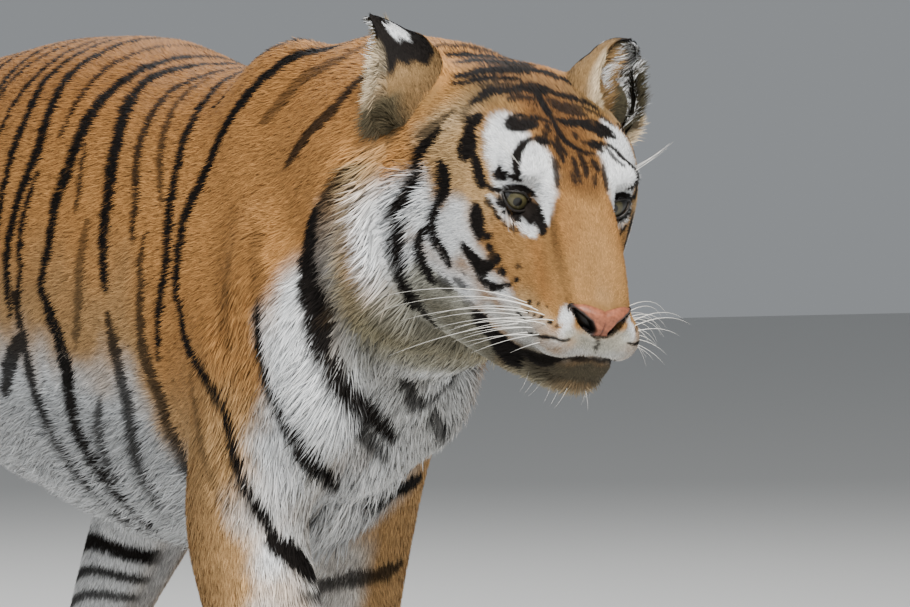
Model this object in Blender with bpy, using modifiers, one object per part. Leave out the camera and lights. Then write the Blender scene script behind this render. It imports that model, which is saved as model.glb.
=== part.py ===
"""A life-size Amur tiger in mid walk, as a still museum model in solids.

The outer coat is modelled whole: swept forms for the trunk, neck, limbs, tail and
muzzle, with rounded muscle masses over them. A voxel remesh joins them, smoothing
blends them, and thin cuts part the result where a person would name its parts.
Ears and eyes are pieces of their own. The tiger faces -Y, its left is +X, +Z is up,
and all four soles stand on Z = 0.
"""

import math
from collections import namedtuple

import bmesh
import bpy
from mathutils import Euler, Matrix, Vector

# ------------------------------------------------------------------ driving sizes, metres
EYE_SPACING = 0.108             # between the centres of the eyes
EYE_RADIUS = 0.0190
EYE_DEPTH = 0.0186              # from the plane of the irises back to the eyes' centres
HEAD_AT = (0.006, -0.470, 0.771)    # midway between the irises
HEAD_PITCH = math.radians(21.7)     # nose down
HEAD_ROLL = math.radians(4.5)       # left side down
HEAD_YAW = math.radians(-6.2)       # to the tiger's right
SOLE_DEPTH = 0.008              # how far the paws reach below the floor, which trims them

VOXEL = 0.0058                  # grain of the remesh that joins the forms
BODY_BLEND, HEAD_BLEND = 48, 9  # smoothing passes
BODY_TRIANGLES, HEAD_TRIANGLES = 2050, 1300
CUT = 0.0005                    # width of the cuts between neighbouring parts
PIECE_GAP = 0.0004              # between the head and the ears and eyes set in it
SLIVER = 2e-5                   # loose bits smaller than this, in cubic metres, are waste

SIDES = {"left": 1, "right": -1}

Section = namedtuple("Section", "x y z half_width above below")
Mass = namedtuple("Mass", "x y z rx ry rz turn", defaults=((0, 0, 0),))

# ------------------------------------------------------------------ shared tools


def clear_scene():
    for obj in list(bpy.data.objects):
        bpy.data.objects.remove(obj)


def new_collection(name):
    made = bpy.data.collections.new(name)
    bpy.context.scene.collection.children.link(made)
    return made


def material(name, colour, roughness):
    made = bpy.data.materials.new(name)
    made.use_nodes = True
    shader = made.node_tree.nodes["Principled BSDF"]
    shader.inputs["Base Color"].default_value = (*colour, 1)
    shader.inputs["Roughness"].default_value = roughness
    made.diffuse_color = (*colour, 1)
    return made


def smooth_between(rows, at):
    """The Catmull-Rom curve through equal steps of rows, read at the parameter at."""
    i = min(int(at), len(rows) - 2)
    t = at - i
    p0, p1, p2, p3 = (rows[min(max(k, 0), len(rows) - 1)] for k in range(i - 1, i + 3))
    return [
        0.5 * (2 * b + (c - a) * t + (2 * a - 5 * b + 4 * c - d) * t * t
               + (3 * b - a - 3 * c + d) * t ** 3)
        for a, b, c, d in zip(p0, p1, p2, p3)
    ]


def swept_form(bm, sections, rings_per_step=5, sides=28, squareness=2.0):
    """Adds a closed tube to bm: superellipse sections across the path of their centres.

    Each section stands square to the path. Its width runs along X, and its height
    (above and below the centre) runs along the direction square to both.
    """
    steps = (len(sections) - 1) * rings_per_step
    rows = [smooth_between(sections, k / rings_per_step) for k in range(steps + 1)]
    centres = [Vector(row[:3]) for row in rows]
    rings = []
    for k, row in enumerate(rows):
        tangent = (centres[min(k + 1, steps)] - centres[max(k - 1, 0)]).normalized()
        rise = Vector((1, 0, 0)).cross(tangent).normalized()
        ring = []
        for j in range(sides):
            angle = 2 * math.pi * j / sides
            c, s = math.cos(angle), math.sin(angle)
            across = math.copysign(abs(c) ** (2 / squareness), c) * row[3]
            height = row[4] if s > 0 else row[5]
            up = math.copysign(abs(s) ** (2 / squareness), s) * height
            ring.append(bm.verts.new(centres[k] + Vector((across, 0, 0)) + rise * up))
        rings.append(ring)
    for lower, upper in zip(rings, rings[1:]):
        for j in range(sides):
            n = (j + 1) % sides
            bm.faces.new((lower[j], upper[j], upper[n], lower[n]))
    bm.faces.new(rings[0])
    bm.faces.new(list(reversed(rings[-1])))


def rounded_mass(bm, mass, around=24):
    """Adds an ellipsoid of the three radii of mass, turned by its angles in degrees."""
    turn = Euler([math.radians(a) for a in mass.turn]).to_matrix().to_4x4()
    place = Matrix.Translation((mass.x, mass.y, mass.z)) @ turn
    size = Matrix.Diagonal((mass.rx, mass.ry, mass.rz, 1))
    bmesh.ops.create_uvsphere(bm, u_segments=around, v_segments=around * 2 // 3, radius=1,
                              matrix=place @ size)


def object_from(bm, name, collection):
    bmesh.ops.recalc_face_normals(bm, faces=bm.faces)
    mesh = bpy.data.meshes.new(name)
    bm.to_mesh(mesh)
    bm.free()
    obj = bpy.data.objects.new(name, mesh)
    collection.objects.link(obj)
    return obj


def evaluated_mesh(obj):
    graph = bpy.context.evaluated_depsgraph_get()
    graph.update()
    return bpy.data.meshes.new_from_object(obj.evaluated_get(graph))


# ------------------------------------------------------------------ the body


def add_trunk(bm):
    """Chest to rump, with the shoulder blades standing above a slightly hollow back."""
    swept_form(bm, [
        Section(0, -0.175, 0.605, 0.045, 0.060, 0.070),
        Section(0, -0.130, 0.630, 0.088, 0.150, 0.145),
        Section(0, -0.055, 0.650, 0.125, 0.225, 0.215),
        Section(0, 0.030, 0.660, 0.150, 0.250, 0.262),
        Section(0, 0.140, 0.660, 0.167, 0.250, 0.276),
        Section(0, 0.280, 0.662, 0.180, 0.254, 0.284),
        Section(0, 0.430, 0.675, 0.188, 0.270, 0.282),
        Section(0, 0.560, 0.690, 0.182, 0.257, 0.268),
        Section(0, 0.680, 0.700, 0.168, 0.238, 0.262),
        Section(0, 0.800, 0.715, 0.155, 0.208, 0.200),
        Section(0, 0.900, 0.725, 0.135, 0.175, 0.160),
        Section(0, 0.980, 0.725, 0.100, 0.130, 0.125),
        Section(0, 1.035, 0.725, 0.055, 0.065, 0.065),
    ], sides=36)
    for side in SIDES.values():
        rounded_mass(bm, Mass(side * 0.073, -0.006 - side * 0.004, 0.802,
                              0.056, 0.138, 0.148, (0, side * -13, 0)))
        rounded_mass(bm, Mass(side * 0.108, 0.810, 0.715, 0.058, 0.150, 0.150))


def add_neck(bm):
    """From the chest and shoulder blades to the back of the skull, thick with ruff."""
    swept_form(bm, [
        Section(0, 0.060, 0.760, 0.095, 0.140, 0.140),
        Section(0, -0.060, 0.752, 0.126, 0.168, 0.190),
        Section(0, -0.160, 0.752, 0.139, 0.168, 0.195),
        Section(0, -0.240, 0.762, 0.142, 0.160, 0.180),
        Section(0, -0.310, 0.772, 0.126, 0.143, 0.160),
        Section(0, -0.360, 0.780, 0.080, 0.100, 0.110),
    ], sides=32)


FORE = {  # shoulder, elbow, forearm, wrist and paw of each foreleg, as (x, y, z)
    "right": ((-0.108, -0.105, 0.640), (-0.113, -0.002, 0.432), (-0.105, -0.024, 0.345),
              (-0.096, -0.062, 0.165), (-0.092, -0.085, 0.040)),
    "left": ((0.100, 0.006, 0.640), (0.113, 0.144, 0.455), (0.100, 0.160, 0.345),
             (0.090, 0.142, 0.165), (0.086, 0.108, 0.040)),
}
HIND = {  # knee, hock and paw of each hind leg
    "right": ((-0.126, 0.760, 0.480), (-0.104, 1.020, 0.275), (-0.096, 0.990, 0.040)),
    "left": ((0.124, 0.570, 0.490), (0.100, 0.755, 0.235), (0.092, 0.655, 0.040)),
}


def add_paw(bm, x, y, width, length, height):
    """A broad paw whose four toes point forward, with its sole just below the floor."""
    base = height / 2 - SOLE_DEPTH
    rounded_mass(bm, Mass(x, y, base + 0.002, width * 0.46, length * 0.46, height * 0.58))
    for toe in (-1.5, -0.5, 0.5, 1.5):
        reach = length * (0.40 - 0.035 * toe * toe)
        rounded_mass(bm, Mass(x + toe * width * 0.235, y - reach, base - 0.006,
                              width * 0.150, length * 0.215, height * 0.46,
                              (0, 0, -toe * 5)))


def add_foreleg(bm, side_name):
    """Shoulder and upper arm muscle, a thick forearm tapering to the wrist, and the paw."""
    side = SIDES[side_name]
    shoulder, elbow, forearm, wrist, paw = FORE[side_name]
    rounded_mass(bm, Mass(*shoulder, 0.064, 0.104, 0.150, (-16, side * 4, 0)))
    rounded_mass(bm, Mass(elbow[0] * 0.94, (shoulder[1] + elbow[1]) / 2 + 0.060, 0.590,
                          0.062, 0.110, 0.140, (18, side * 4, 0)))
    swept_form(bm, [
        Section(shoulder[0], shoulder[1] + 0.050, 0.645, 0.066, 0.110, 0.100),
        Section(elbow[0] * 0.98, elbow[1] - 0.030, elbow[2] + 0.090, 0.064, 0.096, 0.096),
        Section(*elbow, 0.060, 0.082, 0.080),
        Section(*forearm, 0.062, 0.070, 0.072),
        Section((forearm[0] + wrist[0]) / 2, (forearm[1] + wrist[1]) / 2,
                (forearm[2] + wrist[2]) / 2, 0.055, 0.056, 0.060),
        Section(*wrist, 0.052, 0.048, 0.051),
        Section(paw[0], (wrist[1] + paw[1]) / 2, 0.090, 0.053, 0.047, 0.055),
        Section(*paw, 0.055, 0.048, 0.060),
    ])
    add_paw(bm, paw[0], paw[1] - 0.030, 0.136, 0.168, 0.076)


def add_hind_leg(bm, side_name):
    """Thigh, shank, long metatarsus standing on the toes, and the smaller hind paw."""
    side = SIDES[side_name]
    knee, hock, paw = HIND[side_name]
    rounded_mass(bm, Mass(side * 0.112, (0.830 + knee[1]) / 2 + 0.020, 0.620,
                          0.074, 0.170, 0.190, (30, 0, 0)))
    swept_form(bm, [
        Section(side * 0.098, 0.835, 0.710, 0.080, 0.130, 0.140),
        Section(side * 0.118, (0.835 + knee[1]) / 2, 0.590, 0.078, 0.138, 0.125),
        Section(knee[0], knee[1] + 0.035, knee[2] - 0.010, 0.066, 0.100, 0.078),
        Section((knee[0] + hock[0]) / 2, (knee[1] + hock[1]) / 2 + 0.016,
                (knee[2] + hock[2]) / 2, 0.056, 0.072, 0.062),
        Section(*hock, 0.040, 0.048, 0.046),
        Section((hock[0] + paw[0]) / 2, (hock[1] + paw[1]) / 2 - 0.004,
                (hock[2] + paw[2]) / 2, 0.039, 0.042, 0.042),
        Section(paw[0], paw[1] + 0.010, paw[2] + 0.022, 0.046, 0.048, 0.050),
        Section(paw[0], paw[1] - 0.010, paw[2], 0.048, 0.042, 0.052),
    ])
    add_paw(bm, paw[0], paw[1] - 0.040, 0.120, 0.160, 0.068)


TAIL = [  # y, z and radius along the tail, from inside the rump to the tip
    (0.930, 0.800, 0.060), (1.030, 0.770, 0.052), (1.115, 0.685, 0.044),
    (1.175, 0.560, 0.039), (1.225, 0.430, 0.037), (1.290, 0.305, 0.036),
    (1.390, 0.220, 0.035), (1.500, 0.205, 0.035), (1.590, 0.250, 0.032),
    (1.630, 0.320, 0.018),
]


def add_tail(bm):
    swept_form(bm, [Section(0, y, z, r, r, r) for y, z, r in TAIL], sides=20)


# ------------------------------------------------------------------ the head

HEAD_PLACE = (
    Matrix.Translation(HEAD_AT)
    @ Matrix.Rotation(HEAD_YAW, 4, "Z")
    @ Matrix.Rotation(HEAD_PITCH, 4, "X")
    @ Matrix.Rotation(HEAD_ROLL, 4, "Y")
)


HEAD_STATIONS = [  # how far behind the irises, then half the outline from crown to throat
    (0.285, (0, .040), (.045, .032), (.080, .005), (.100, -.035), (.104, -.085),
     (.088, -.126), (.052, -.146), (0, -.150)),
    (0.230, (0, .068), (.055, .062), (.096, .034), (.122, -.020), (.136, -.082),
     (.122, -.140), (.070, -.168), (0, -.172)),
    (0.182, (0, .079), (.055, .075), (.097, .048), (.123, -.010), (.138, -.082),
     (.126, -.146), (.074, -.180), (0, -.184)),
    (0.127, (0, .073), (.055, .072), (.095, .049), (.117, -.010), (.128, -.080),
     (.116, -.144), (.070, -.182), (0, -.186)),
    (0.080, (0, .065), (.052, .066), (.091, .047), (.109, -.010), (.112, -.076),
     (.099, -.140), (.062, -.180), (0, -.184)),
    (0.040, (0, .056), (.046, .058), (.081, .040), (.097, -.010), (.095, -.072),
     (.082, -.136), (.053, -.178), (0, -.183)),
    (0.000, (0, .042), (.034, .042), (.054, .027), (.067, -.010), (.074, -.066),
     (.065, -.132), (.045, -.175), (0, -.181)),
    (-0.033, (0, .020), (.029, .015), (.036, -.012), (.052, -.054), (.061, -.098),
     (.053, -.134), (.039, -.170), (0, -.177)),
    (-0.060, (0, .000), (.028, -.005), (.036, -.033), (.053, -.075), (.058, -.106),
     (.046, -.131), (.035, -.165), (0, -.172)),
    (-0.085, (0, -.025), (.027, -.027), (.041, -.052), (.053, -.084), (.053, -.107),
     (.042, -.127), (.031, -.161), (0, -.168)),
    (-0.108, (0, -.050), (.026, -.053), (.037, -.070), (.045, -.091), (.045, -.107),
     (.034, -.122), (.024, -.150), (0, -.157)),
    (-0.122, (0, -.060), (.024, -.062), (.033, -.073), (.034, -.090), (.033, -.104),
     (.025, -.116), (.012, -.124), (0, -.120)),
    (-0.130, (0, -.068), (.016, -.069), (.023, -.076), (.021, -.090), (.019, -.100),
     (.013, -.108), (.006, -.110), (0, -.106)),
]


def profile_loft(bm, stations, per_point=3, per_station=4):
    """Adds a closed form to bm through upright outlines, each mirrored about x = 0.

    The Catmull-Rom curve smooths every outline through its points, and then the
    form through its stations.
    """
    outlines = []
    for station in stations:
        points = [(x, z) for x, z in station[1:]]
        steps = (len(points) - 1) * per_point
        half = [smooth_between(points, k / per_point) for k in range(steps + 1)]
        ring = half + [(-x, z) for x, z in reversed(half[1:-1])]
        outlines.append([station[0]] + [v for point in ring for v in point])
    rings = []
    steps = (len(outlines) - 1) * per_station
    for k in range(steps + 1):
        row = smooth_between(outlines, k / per_station)
        rings.append([bm.verts.new((x, row[0], z)) for x, z in zip(row[1::2], row[2::2])])
    for a, b in zip(rings, rings[1:]):
        for j in range(len(a)):
            n = (j + 1) % len(a)
            bm.faces.new((a[j], a[n], b[n], b[j]))
    bm.faces.new(rings[0])
    bm.faces.new(list(reversed(rings[-1])))


def add_head(bm):
    """Skull, cheeks, muzzle and chin in the head's own frame: origin between the irises,
    nose towards -Y, then placed on the neck."""
    head = bmesh.new()
    profile_loft(head, HEAD_STATIONS)
    swept_form(head, [
        Section(0, 0.020, 0.020, 0.032, 0.019, 0.030),
        Section(0, -0.030, 0.003, 0.032, 0.018, 0.030),
        Section(0, -0.080, -0.034, 0.032, 0.016, 0.030),
        Section(0, -0.118, -0.071, 0.031, 0.015, 0.022),
    ], squareness=3.0)
    rounded_mass(head, Mass(0, -0.118, -0.076, 0.034, 0.017, 0.019))
    rounded_mass(head, Mass(0, -0.082, -0.143, 0.033, 0.036, 0.026))
    for side in SIDES.values():
        rounded_mass(head, Mass(side * 0.029, -0.092, -0.098, 0.029, 0.042, 0.027))
        rounded_mass(head, Mass(side * 0.050, 0.016, 0.031, 0.028, 0.028, 0.016))
    bmesh.ops.transform(head, matrix=HEAD_PLACE, verts=head.verts)
    placed = bpy.data.meshes.new("head_form")
    head.to_mesh(placed)
    head.free()
    bm.from_mesh(placed)
    bpy.data.meshes.remove(placed)


EAR_WIDTH, EAR_WALL = 0.098, 0.0080
EarPose = namedtuple("EarPose", "x y z tilt_out tilt_back opening height blunt full")
EARS = {  # foot in the head's frame, leans in degrees, where the cup opens to, its form
    "right": EarPose(-0.097, 0.196, 0.038, 38, 4, -122, 0.098, 1.1, 0.95),
    "left": EarPose(0.082, 0.168, 0.040, 22, 6, 30, 0.086, 2.3, 0.50),
}


def add_ear(bm, side_name):
    """A rounded cup: a bent leaf of even thickness, rolled inwards at its foot.

    Across the leaf the angle runs over the back of the cup, and up the leaf the
    half width follows a round-topped outline.
    """
    pose = EARS[side_name]
    across, up = 8, 6
    wall = EAR_WALL

    def point(u, v, depth):
        height = pose.height * v
        outline = (1 - max(0.0, (v - 0.42) / 0.58) ** pose.blunt) ** pose.full
        half = EAR_WIDTH / 2 * (0.86 + 0.14 * math.sin(math.pi * min(v / 0.6, 1))) * outline
        wrap = math.radians(118 - 62 * v)
        angle = u * wrap
        radius = half / max(math.sin(min(wrap, math.pi / 2)), 0.2) + depth
        lean = -0.010 * v * v
        return Vector((radius * math.sin(angle), radius * math.cos(angle) - radius * 0.35
                       + lean, height))

    def sheet(depth, top):
        return [[bm_ear.verts.new(point(2 * j / across - 1, (i / up) * top - 0.16, depth))
                 for j in range(across + 1)] for i in range(up + 1)]

    bm_ear = bmesh.new()
    outer = sheet(wall / 2, 1.155)
    inner = sheet(-wall / 2, 1.135)
    for grid, flip in ((outer, False), (inner, True)):
        for i in range(up):
            for j in range(across):
                quad = (grid[i][j], grid[i][j + 1], grid[i + 1][j + 1], grid[i + 1][j])
                bm_ear.faces.new(tuple(reversed(quad)) if flip else quad)
    rim = ([(i, 0) for i in range(up)] + [(up, j) for j in range(across)]
           + [(i, across) for i in range(up, 0, -1)] + [(0, j) for j in range(across, 0, -1)])
    for a, b in zip(rim, rim[1:] + rim[:1]):
        bm_ear.faces.new((outer[a[0]][a[1]], outer[b[0]][b[1]],
                          inner[b[0]][b[1]], inner[a[0]][a[1]]))
    bmesh.ops.remove_doubles(bm_ear, verts=bm_ear.verts, dist=0.0002)
    bmesh.ops.triangulate(bm_ear, faces=bm_ear.faces)
    side = SIDES[side_name]
    place = (
        HEAD_PLACE
        @ Matrix.Translation((pose.x, pose.y, pose.z))
        @ Matrix.Rotation(math.radians(side * pose.tilt_out), 4, "Y")
        @ Matrix.Rotation(math.radians(-pose.tilt_back), 4, "X")
        @ Matrix.Rotation(math.radians(pose.opening), 4, "Z")
    )
    bmesh.ops.transform(bm_ear, matrix=place, verts=bm_ear.verts)
    placed = bpy.data.meshes.new("ear_form")
    bm_ear.to_mesh(placed)
    bm_ear.free()
    bm.from_mesh(placed)
    bpy.data.meshes.remove(placed)


def add_eye(bm, side_name):
    """The whole eyeball, its poles towards the front and the back."""
    centre = HEAD_PLACE @ Vector((SIDES[side_name] * EYE_SPACING / 2, EYE_DEPTH, -0.001))
    bmesh.ops.create_uvsphere(
        bm, u_segments=12, v_segments=8, radius=EYE_RADIUS,
        matrix=Matrix.Translation(centre) @ HEAD_PLACE.to_3x3().to_4x4()
        @ Matrix.Rotation(math.pi / 2, 4, "X"))
    bmesh.ops.triangulate(bm, faces=bm.faces)


def grown(bm, by):
    """Moves every face of the closed form bm outwards by the same distance."""
    bmesh.ops.recalc_face_normals(bm, faces=bm.faces)
    bm.normal_update()
    for vertex, way in [(v, v.normal * v.calc_shell_factor()) for v in bm.verts]:
        vertex.co += way * by


# ------------------------------------------------------------------ build


def weights(obj, name, value_at):
    group = obj.vertex_groups.new(name=name)
    for vertex in obj.data.vertices:
        value = value_at(vertex.co)
        if value > 0:
            group.add([vertex.index], value, "REPLACE")


def headness(point):
    """1 on the head in front of the ears, falling to 0 on the neck behind it."""
    behind = (HEAD_PLACE.inverted() @ point).y
    return min(1.0, max(0.0, (0.270 - behind) / 0.060)) if behind < 0.270 else 0.0


def bulk(point):
    """1 on the trunk, neck and upper limbs, falling to a fifth on the feet and tail."""
    if point.y > 1.06:
        return 0.3
    behind = (HEAD_PLACE.inverted() @ point).y
    off_face = min(1.0, max(0.0, (behind - 0.130) / 0.090))
    return off_face * min(1.0, max(0.2, (point.z - 0.12) / 0.30))


def press_sockets(obj):
    """Presses a shallow hollow into the face round each eye, deepest at its middle."""
    depth, reach = 0.011, 0.030
    back = (HEAD_PLACE.to_3x3() @ Vector((0, 1, 0))).normalized()
    for side_name in SIDES:
        middle = HEAD_PLACE @ Vector((SIDES[side_name] * EYE_SPACING / 2, 0, 0))
        for vertex in obj.data.vertices:
            far = (vertex.co - middle).length / reach
            if far < 1:
                vertex.co += back * depth * (1 - far * far) ** 2


# ------------------------------------------------------------------ cuts


def cutter_mesh(name, bm, helpers):
    cutter = object_from(bm, name, helpers)
    cutter.display_type = "WIRE"
    return cutter


def thickened(cutter):
    """Makes the sheet a closed wall of the width of a cut."""
    wall = cutter.modifiers.new("width", "SOLIDIFY")
    wall.thickness = CUT
    wall.offset = 0
    return cutter


def slab(name, centre, normal, size, helpers):
    """A square sheet across normal, for a flat cut."""
    bm = bmesh.new()
    turn = Vector(normal).to_track_quat("Z", "Y").to_matrix().to_4x4()
    bmesh.ops.create_grid(bm, x_segments=1, y_segments=1, size=size / 2,
                          matrix=Matrix.Translation(centre) @ turn)
    return thickened(cutter_mesh(name, bm, helpers))


def bubble(name, centre, radii, turn, helpers):
    """A rounded, slightly boxy sheet, for the cut that frees a limb from the trunk."""
    bm = bmesh.new()
    rounded_mass(bm, Mass(0, 0, 0, 1, 1, 1), 10)
    for vertex in bm.verts:
        vertex.co = [math.copysign(abs(c) ** BUBBLE_POWER, c) * r
                     for c, r in zip(vertex.co, radii)]
    inward = math.radians(math.copysign(BUBBLE_LEAN, centre[0]))
    place = (Matrix.Translation(centre) @ Matrix.Rotation(inward, 4, "Y")
             @ Matrix.Rotation(math.radians(turn), 4, "X"))
    bmesh.ops.transform(bm, matrix=place, verts=bm.verts)
    return thickened(cutter_mesh(name, bm, helpers))


def jaw_line(helpers):
    """A bent sheet along the closed mouth and down behind the chin."""
    bm = bmesh.new()
    path = [(-0.160, -0.100), (-0.122, -0.109), (-0.090, -0.128), (-0.045, -0.143),
            (-0.026, -0.154), (0.000, -0.230)]
    rows = [[bm.verts.new(HEAD_PLACE @ Vector((x, y, z))) for x in (-0.12, 0.12)]
            for y, z in path]
    for (a, b), (c, d) in zip(rows, rows[1:]):
        bm.faces.new((a, b, d, c))
    return thickened(cutter_mesh("jaw_cut", bm, helpers))


def islands(mesh):
    """The faces of each loose piece of mesh, as sets of face indices."""
    bm = bmesh.new()
    bm.from_mesh(mesh)
    bm.faces.ensure_lookup_table()
    left = set(range(len(bm.faces)))
    found = []
    while left:
        front = [left.pop()]
        piece = set(front)
        while front:
            for edge in bm.faces[front.pop()].edges:
                for face in edge.link_faces:
                    if face.index in left:
                        left.remove(face.index)
                        piece.add(face.index)
                        front.append(face.index)
        found.append(piece)
    bm.free()
    return found


def parted(piece, cutters, anchors, collection):
    """Cuts piece and names each loose part after the anchor nearest to its middle.

    A sliver that a cut shaves off a curved flank is left out.
    """
    for cutter in cutters:
        gap = piece.modifiers.new("cut_" + cutter.name, "BOOLEAN")
        gap.operation = "DIFFERENCE"
        gap.solver = "EXACT"
        gap.object = cutter
    mesh = evaluated_mesh(piece)
    bpy.data.objects.remove(piece)
    named = {}
    for faces in islands(mesh):
        bm = bmesh.new()
        bm.from_mesh(mesh)
        bmesh.ops.delete(bm, geom=[f for f in bm.faces if f.index not in faces],
                         context="FACES")
        if bm.calc_volume() < SLIVER:
            bm.free()
            continue
        middle = sum((v.co for v in bm.verts), Vector()) / len(bm.verts)
        name = min(anchors, key=lambda key: (Vector(anchors[key]) - middle).length)
        named[name] = object_from(bm, name, collection)
    return named


def whole_body(collection):
    """One closed skin of the flesh and coat: forms joined, blended and thinned out.

    The thinning takes the body first with the head held, and then the head.
    """
    bm = bmesh.new()
    add_trunk(bm)
    add_neck(bm)
    add_head(bm)
    add_tail(bm)
    for side_name in SIDES:
        add_foreleg(bm, side_name)
        add_hind_leg(bm, side_name)
    forms = object_from(bm, "forms", collection)
    join = forms.modifiers.new("join", "REMESH")
    join.mode = "VOXEL"
    join.voxel_size = VOXEL
    whole = bpy.data.objects.new("whole_tiger", evaluated_mesh(forms))
    bpy.data.objects.remove(forms)
    collection.objects.link(whole)
    weights(whole, "head", headness)
    weights(whole, "body", lambda p: 1 - headness(p))
    weights(whole, "bulk", bulk)
    for group, passes in (("bulk", BODY_BLEND), ("head", HEAD_BLEND)):
        blend = whole.modifiers.new("blend_" + group, "SMOOTH")
        blend.factor = 0.5
        blend.iterations = passes
        blend.vertex_group = group
    whole.data = evaluated_mesh(whole)
    whole.modifiers.clear()
    press_sockets(whole)
    whole.data.calc_loop_triangles()
    full = len(whole.data.loop_triangles)
    head_full = sum(headness(t.center) > 0 for t in whole.data.loop_triangles)
    for group, kept, before in (
        ("body", BODY_TRIANGLES + head_full, full),
        ("head", BODY_TRIANGLES + HEAD_TRIANGLES, BODY_TRIANGLES + head_full),
    ):
        thin = whole.modifiers.new("thin_" + group, "DECIMATE")
        thin.ratio = kept / before
        thin.vertex_group = group
        thin.vertex_group_factor = 0.0
        thin.use_collapse_triangulate = True
    whole.data = evaluated_mesh(whole)
    whole.modifiers.clear()
    return whole


def leg_parts(limbs, side_name, collection, helpers):
    """Parts a freed foreleg and hind leg at the wrist, the hock and above the paws."""
    shoulder, elbow, forearm, wrist, paw = FORE[side_name]
    knee, hock, hind_paw = HIND[side_name]
    ends = {}
    down = (0, wrist[1] - forearm[1], wrist[2] - forearm[2])
    ends.update(parted(limbs[side_name + "_forearm"], [
        slab(side_name + "_wrist_cut", (wrist[0], wrist[1], 0.140), down, 0.20, helpers),
    ], {side_name + "_forearm": forearm, side_name + "_forepaw": paw}, collection))
    ends.update(parted(limbs[side_name + "_shank"], [
        slab(side_name + "_hock_cut", (hock[0], hock[1] - 0.010, hock[2] + 0.010),
             (0, -0.10, 1), 0.19, helpers),
        slab(side_name + "_toe_cut", (hind_paw[0], hind_paw[1], 0.092), (0, 0.25, 1),
             0.17, helpers),
    ], {
        side_name + "_shank": ((knee[0] + hock[0]) / 2, (knee[1] + hock[1]) / 2,
                               (knee[2] + hock[2]) / 2 + 0.02),
        side_name + "_metatarsus": (hind_paw[0], (hock[1] + hind_paw[1]) / 2, 0.16),
        side_name + "_hind_paw": hind_paw,
    }, collection))
    return ends


BUBBLE_POWER, BUBBLE_LEAN = 0.70, 9     # boxiness, and degrees by which the foot leans in
BUBBLES = {  # centre, radii and turn of the rounded cuts round shoulders and thighs
    "right_upper_foreleg": ((-0.148, -0.024, 0.580), (0.122, 0.182, 0.232), 10),
    "left_upper_foreleg": ((0.140, 0.108, 0.572), (0.122, 0.188, 0.240), 11),
    "right_thigh": ((-0.154, 0.800, 0.600), (0.118, 0.185, 0.225), 12),
    "left_thigh": ((0.154, 0.690, 0.600), (0.118, 0.215, 0.230), 16),
}


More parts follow.
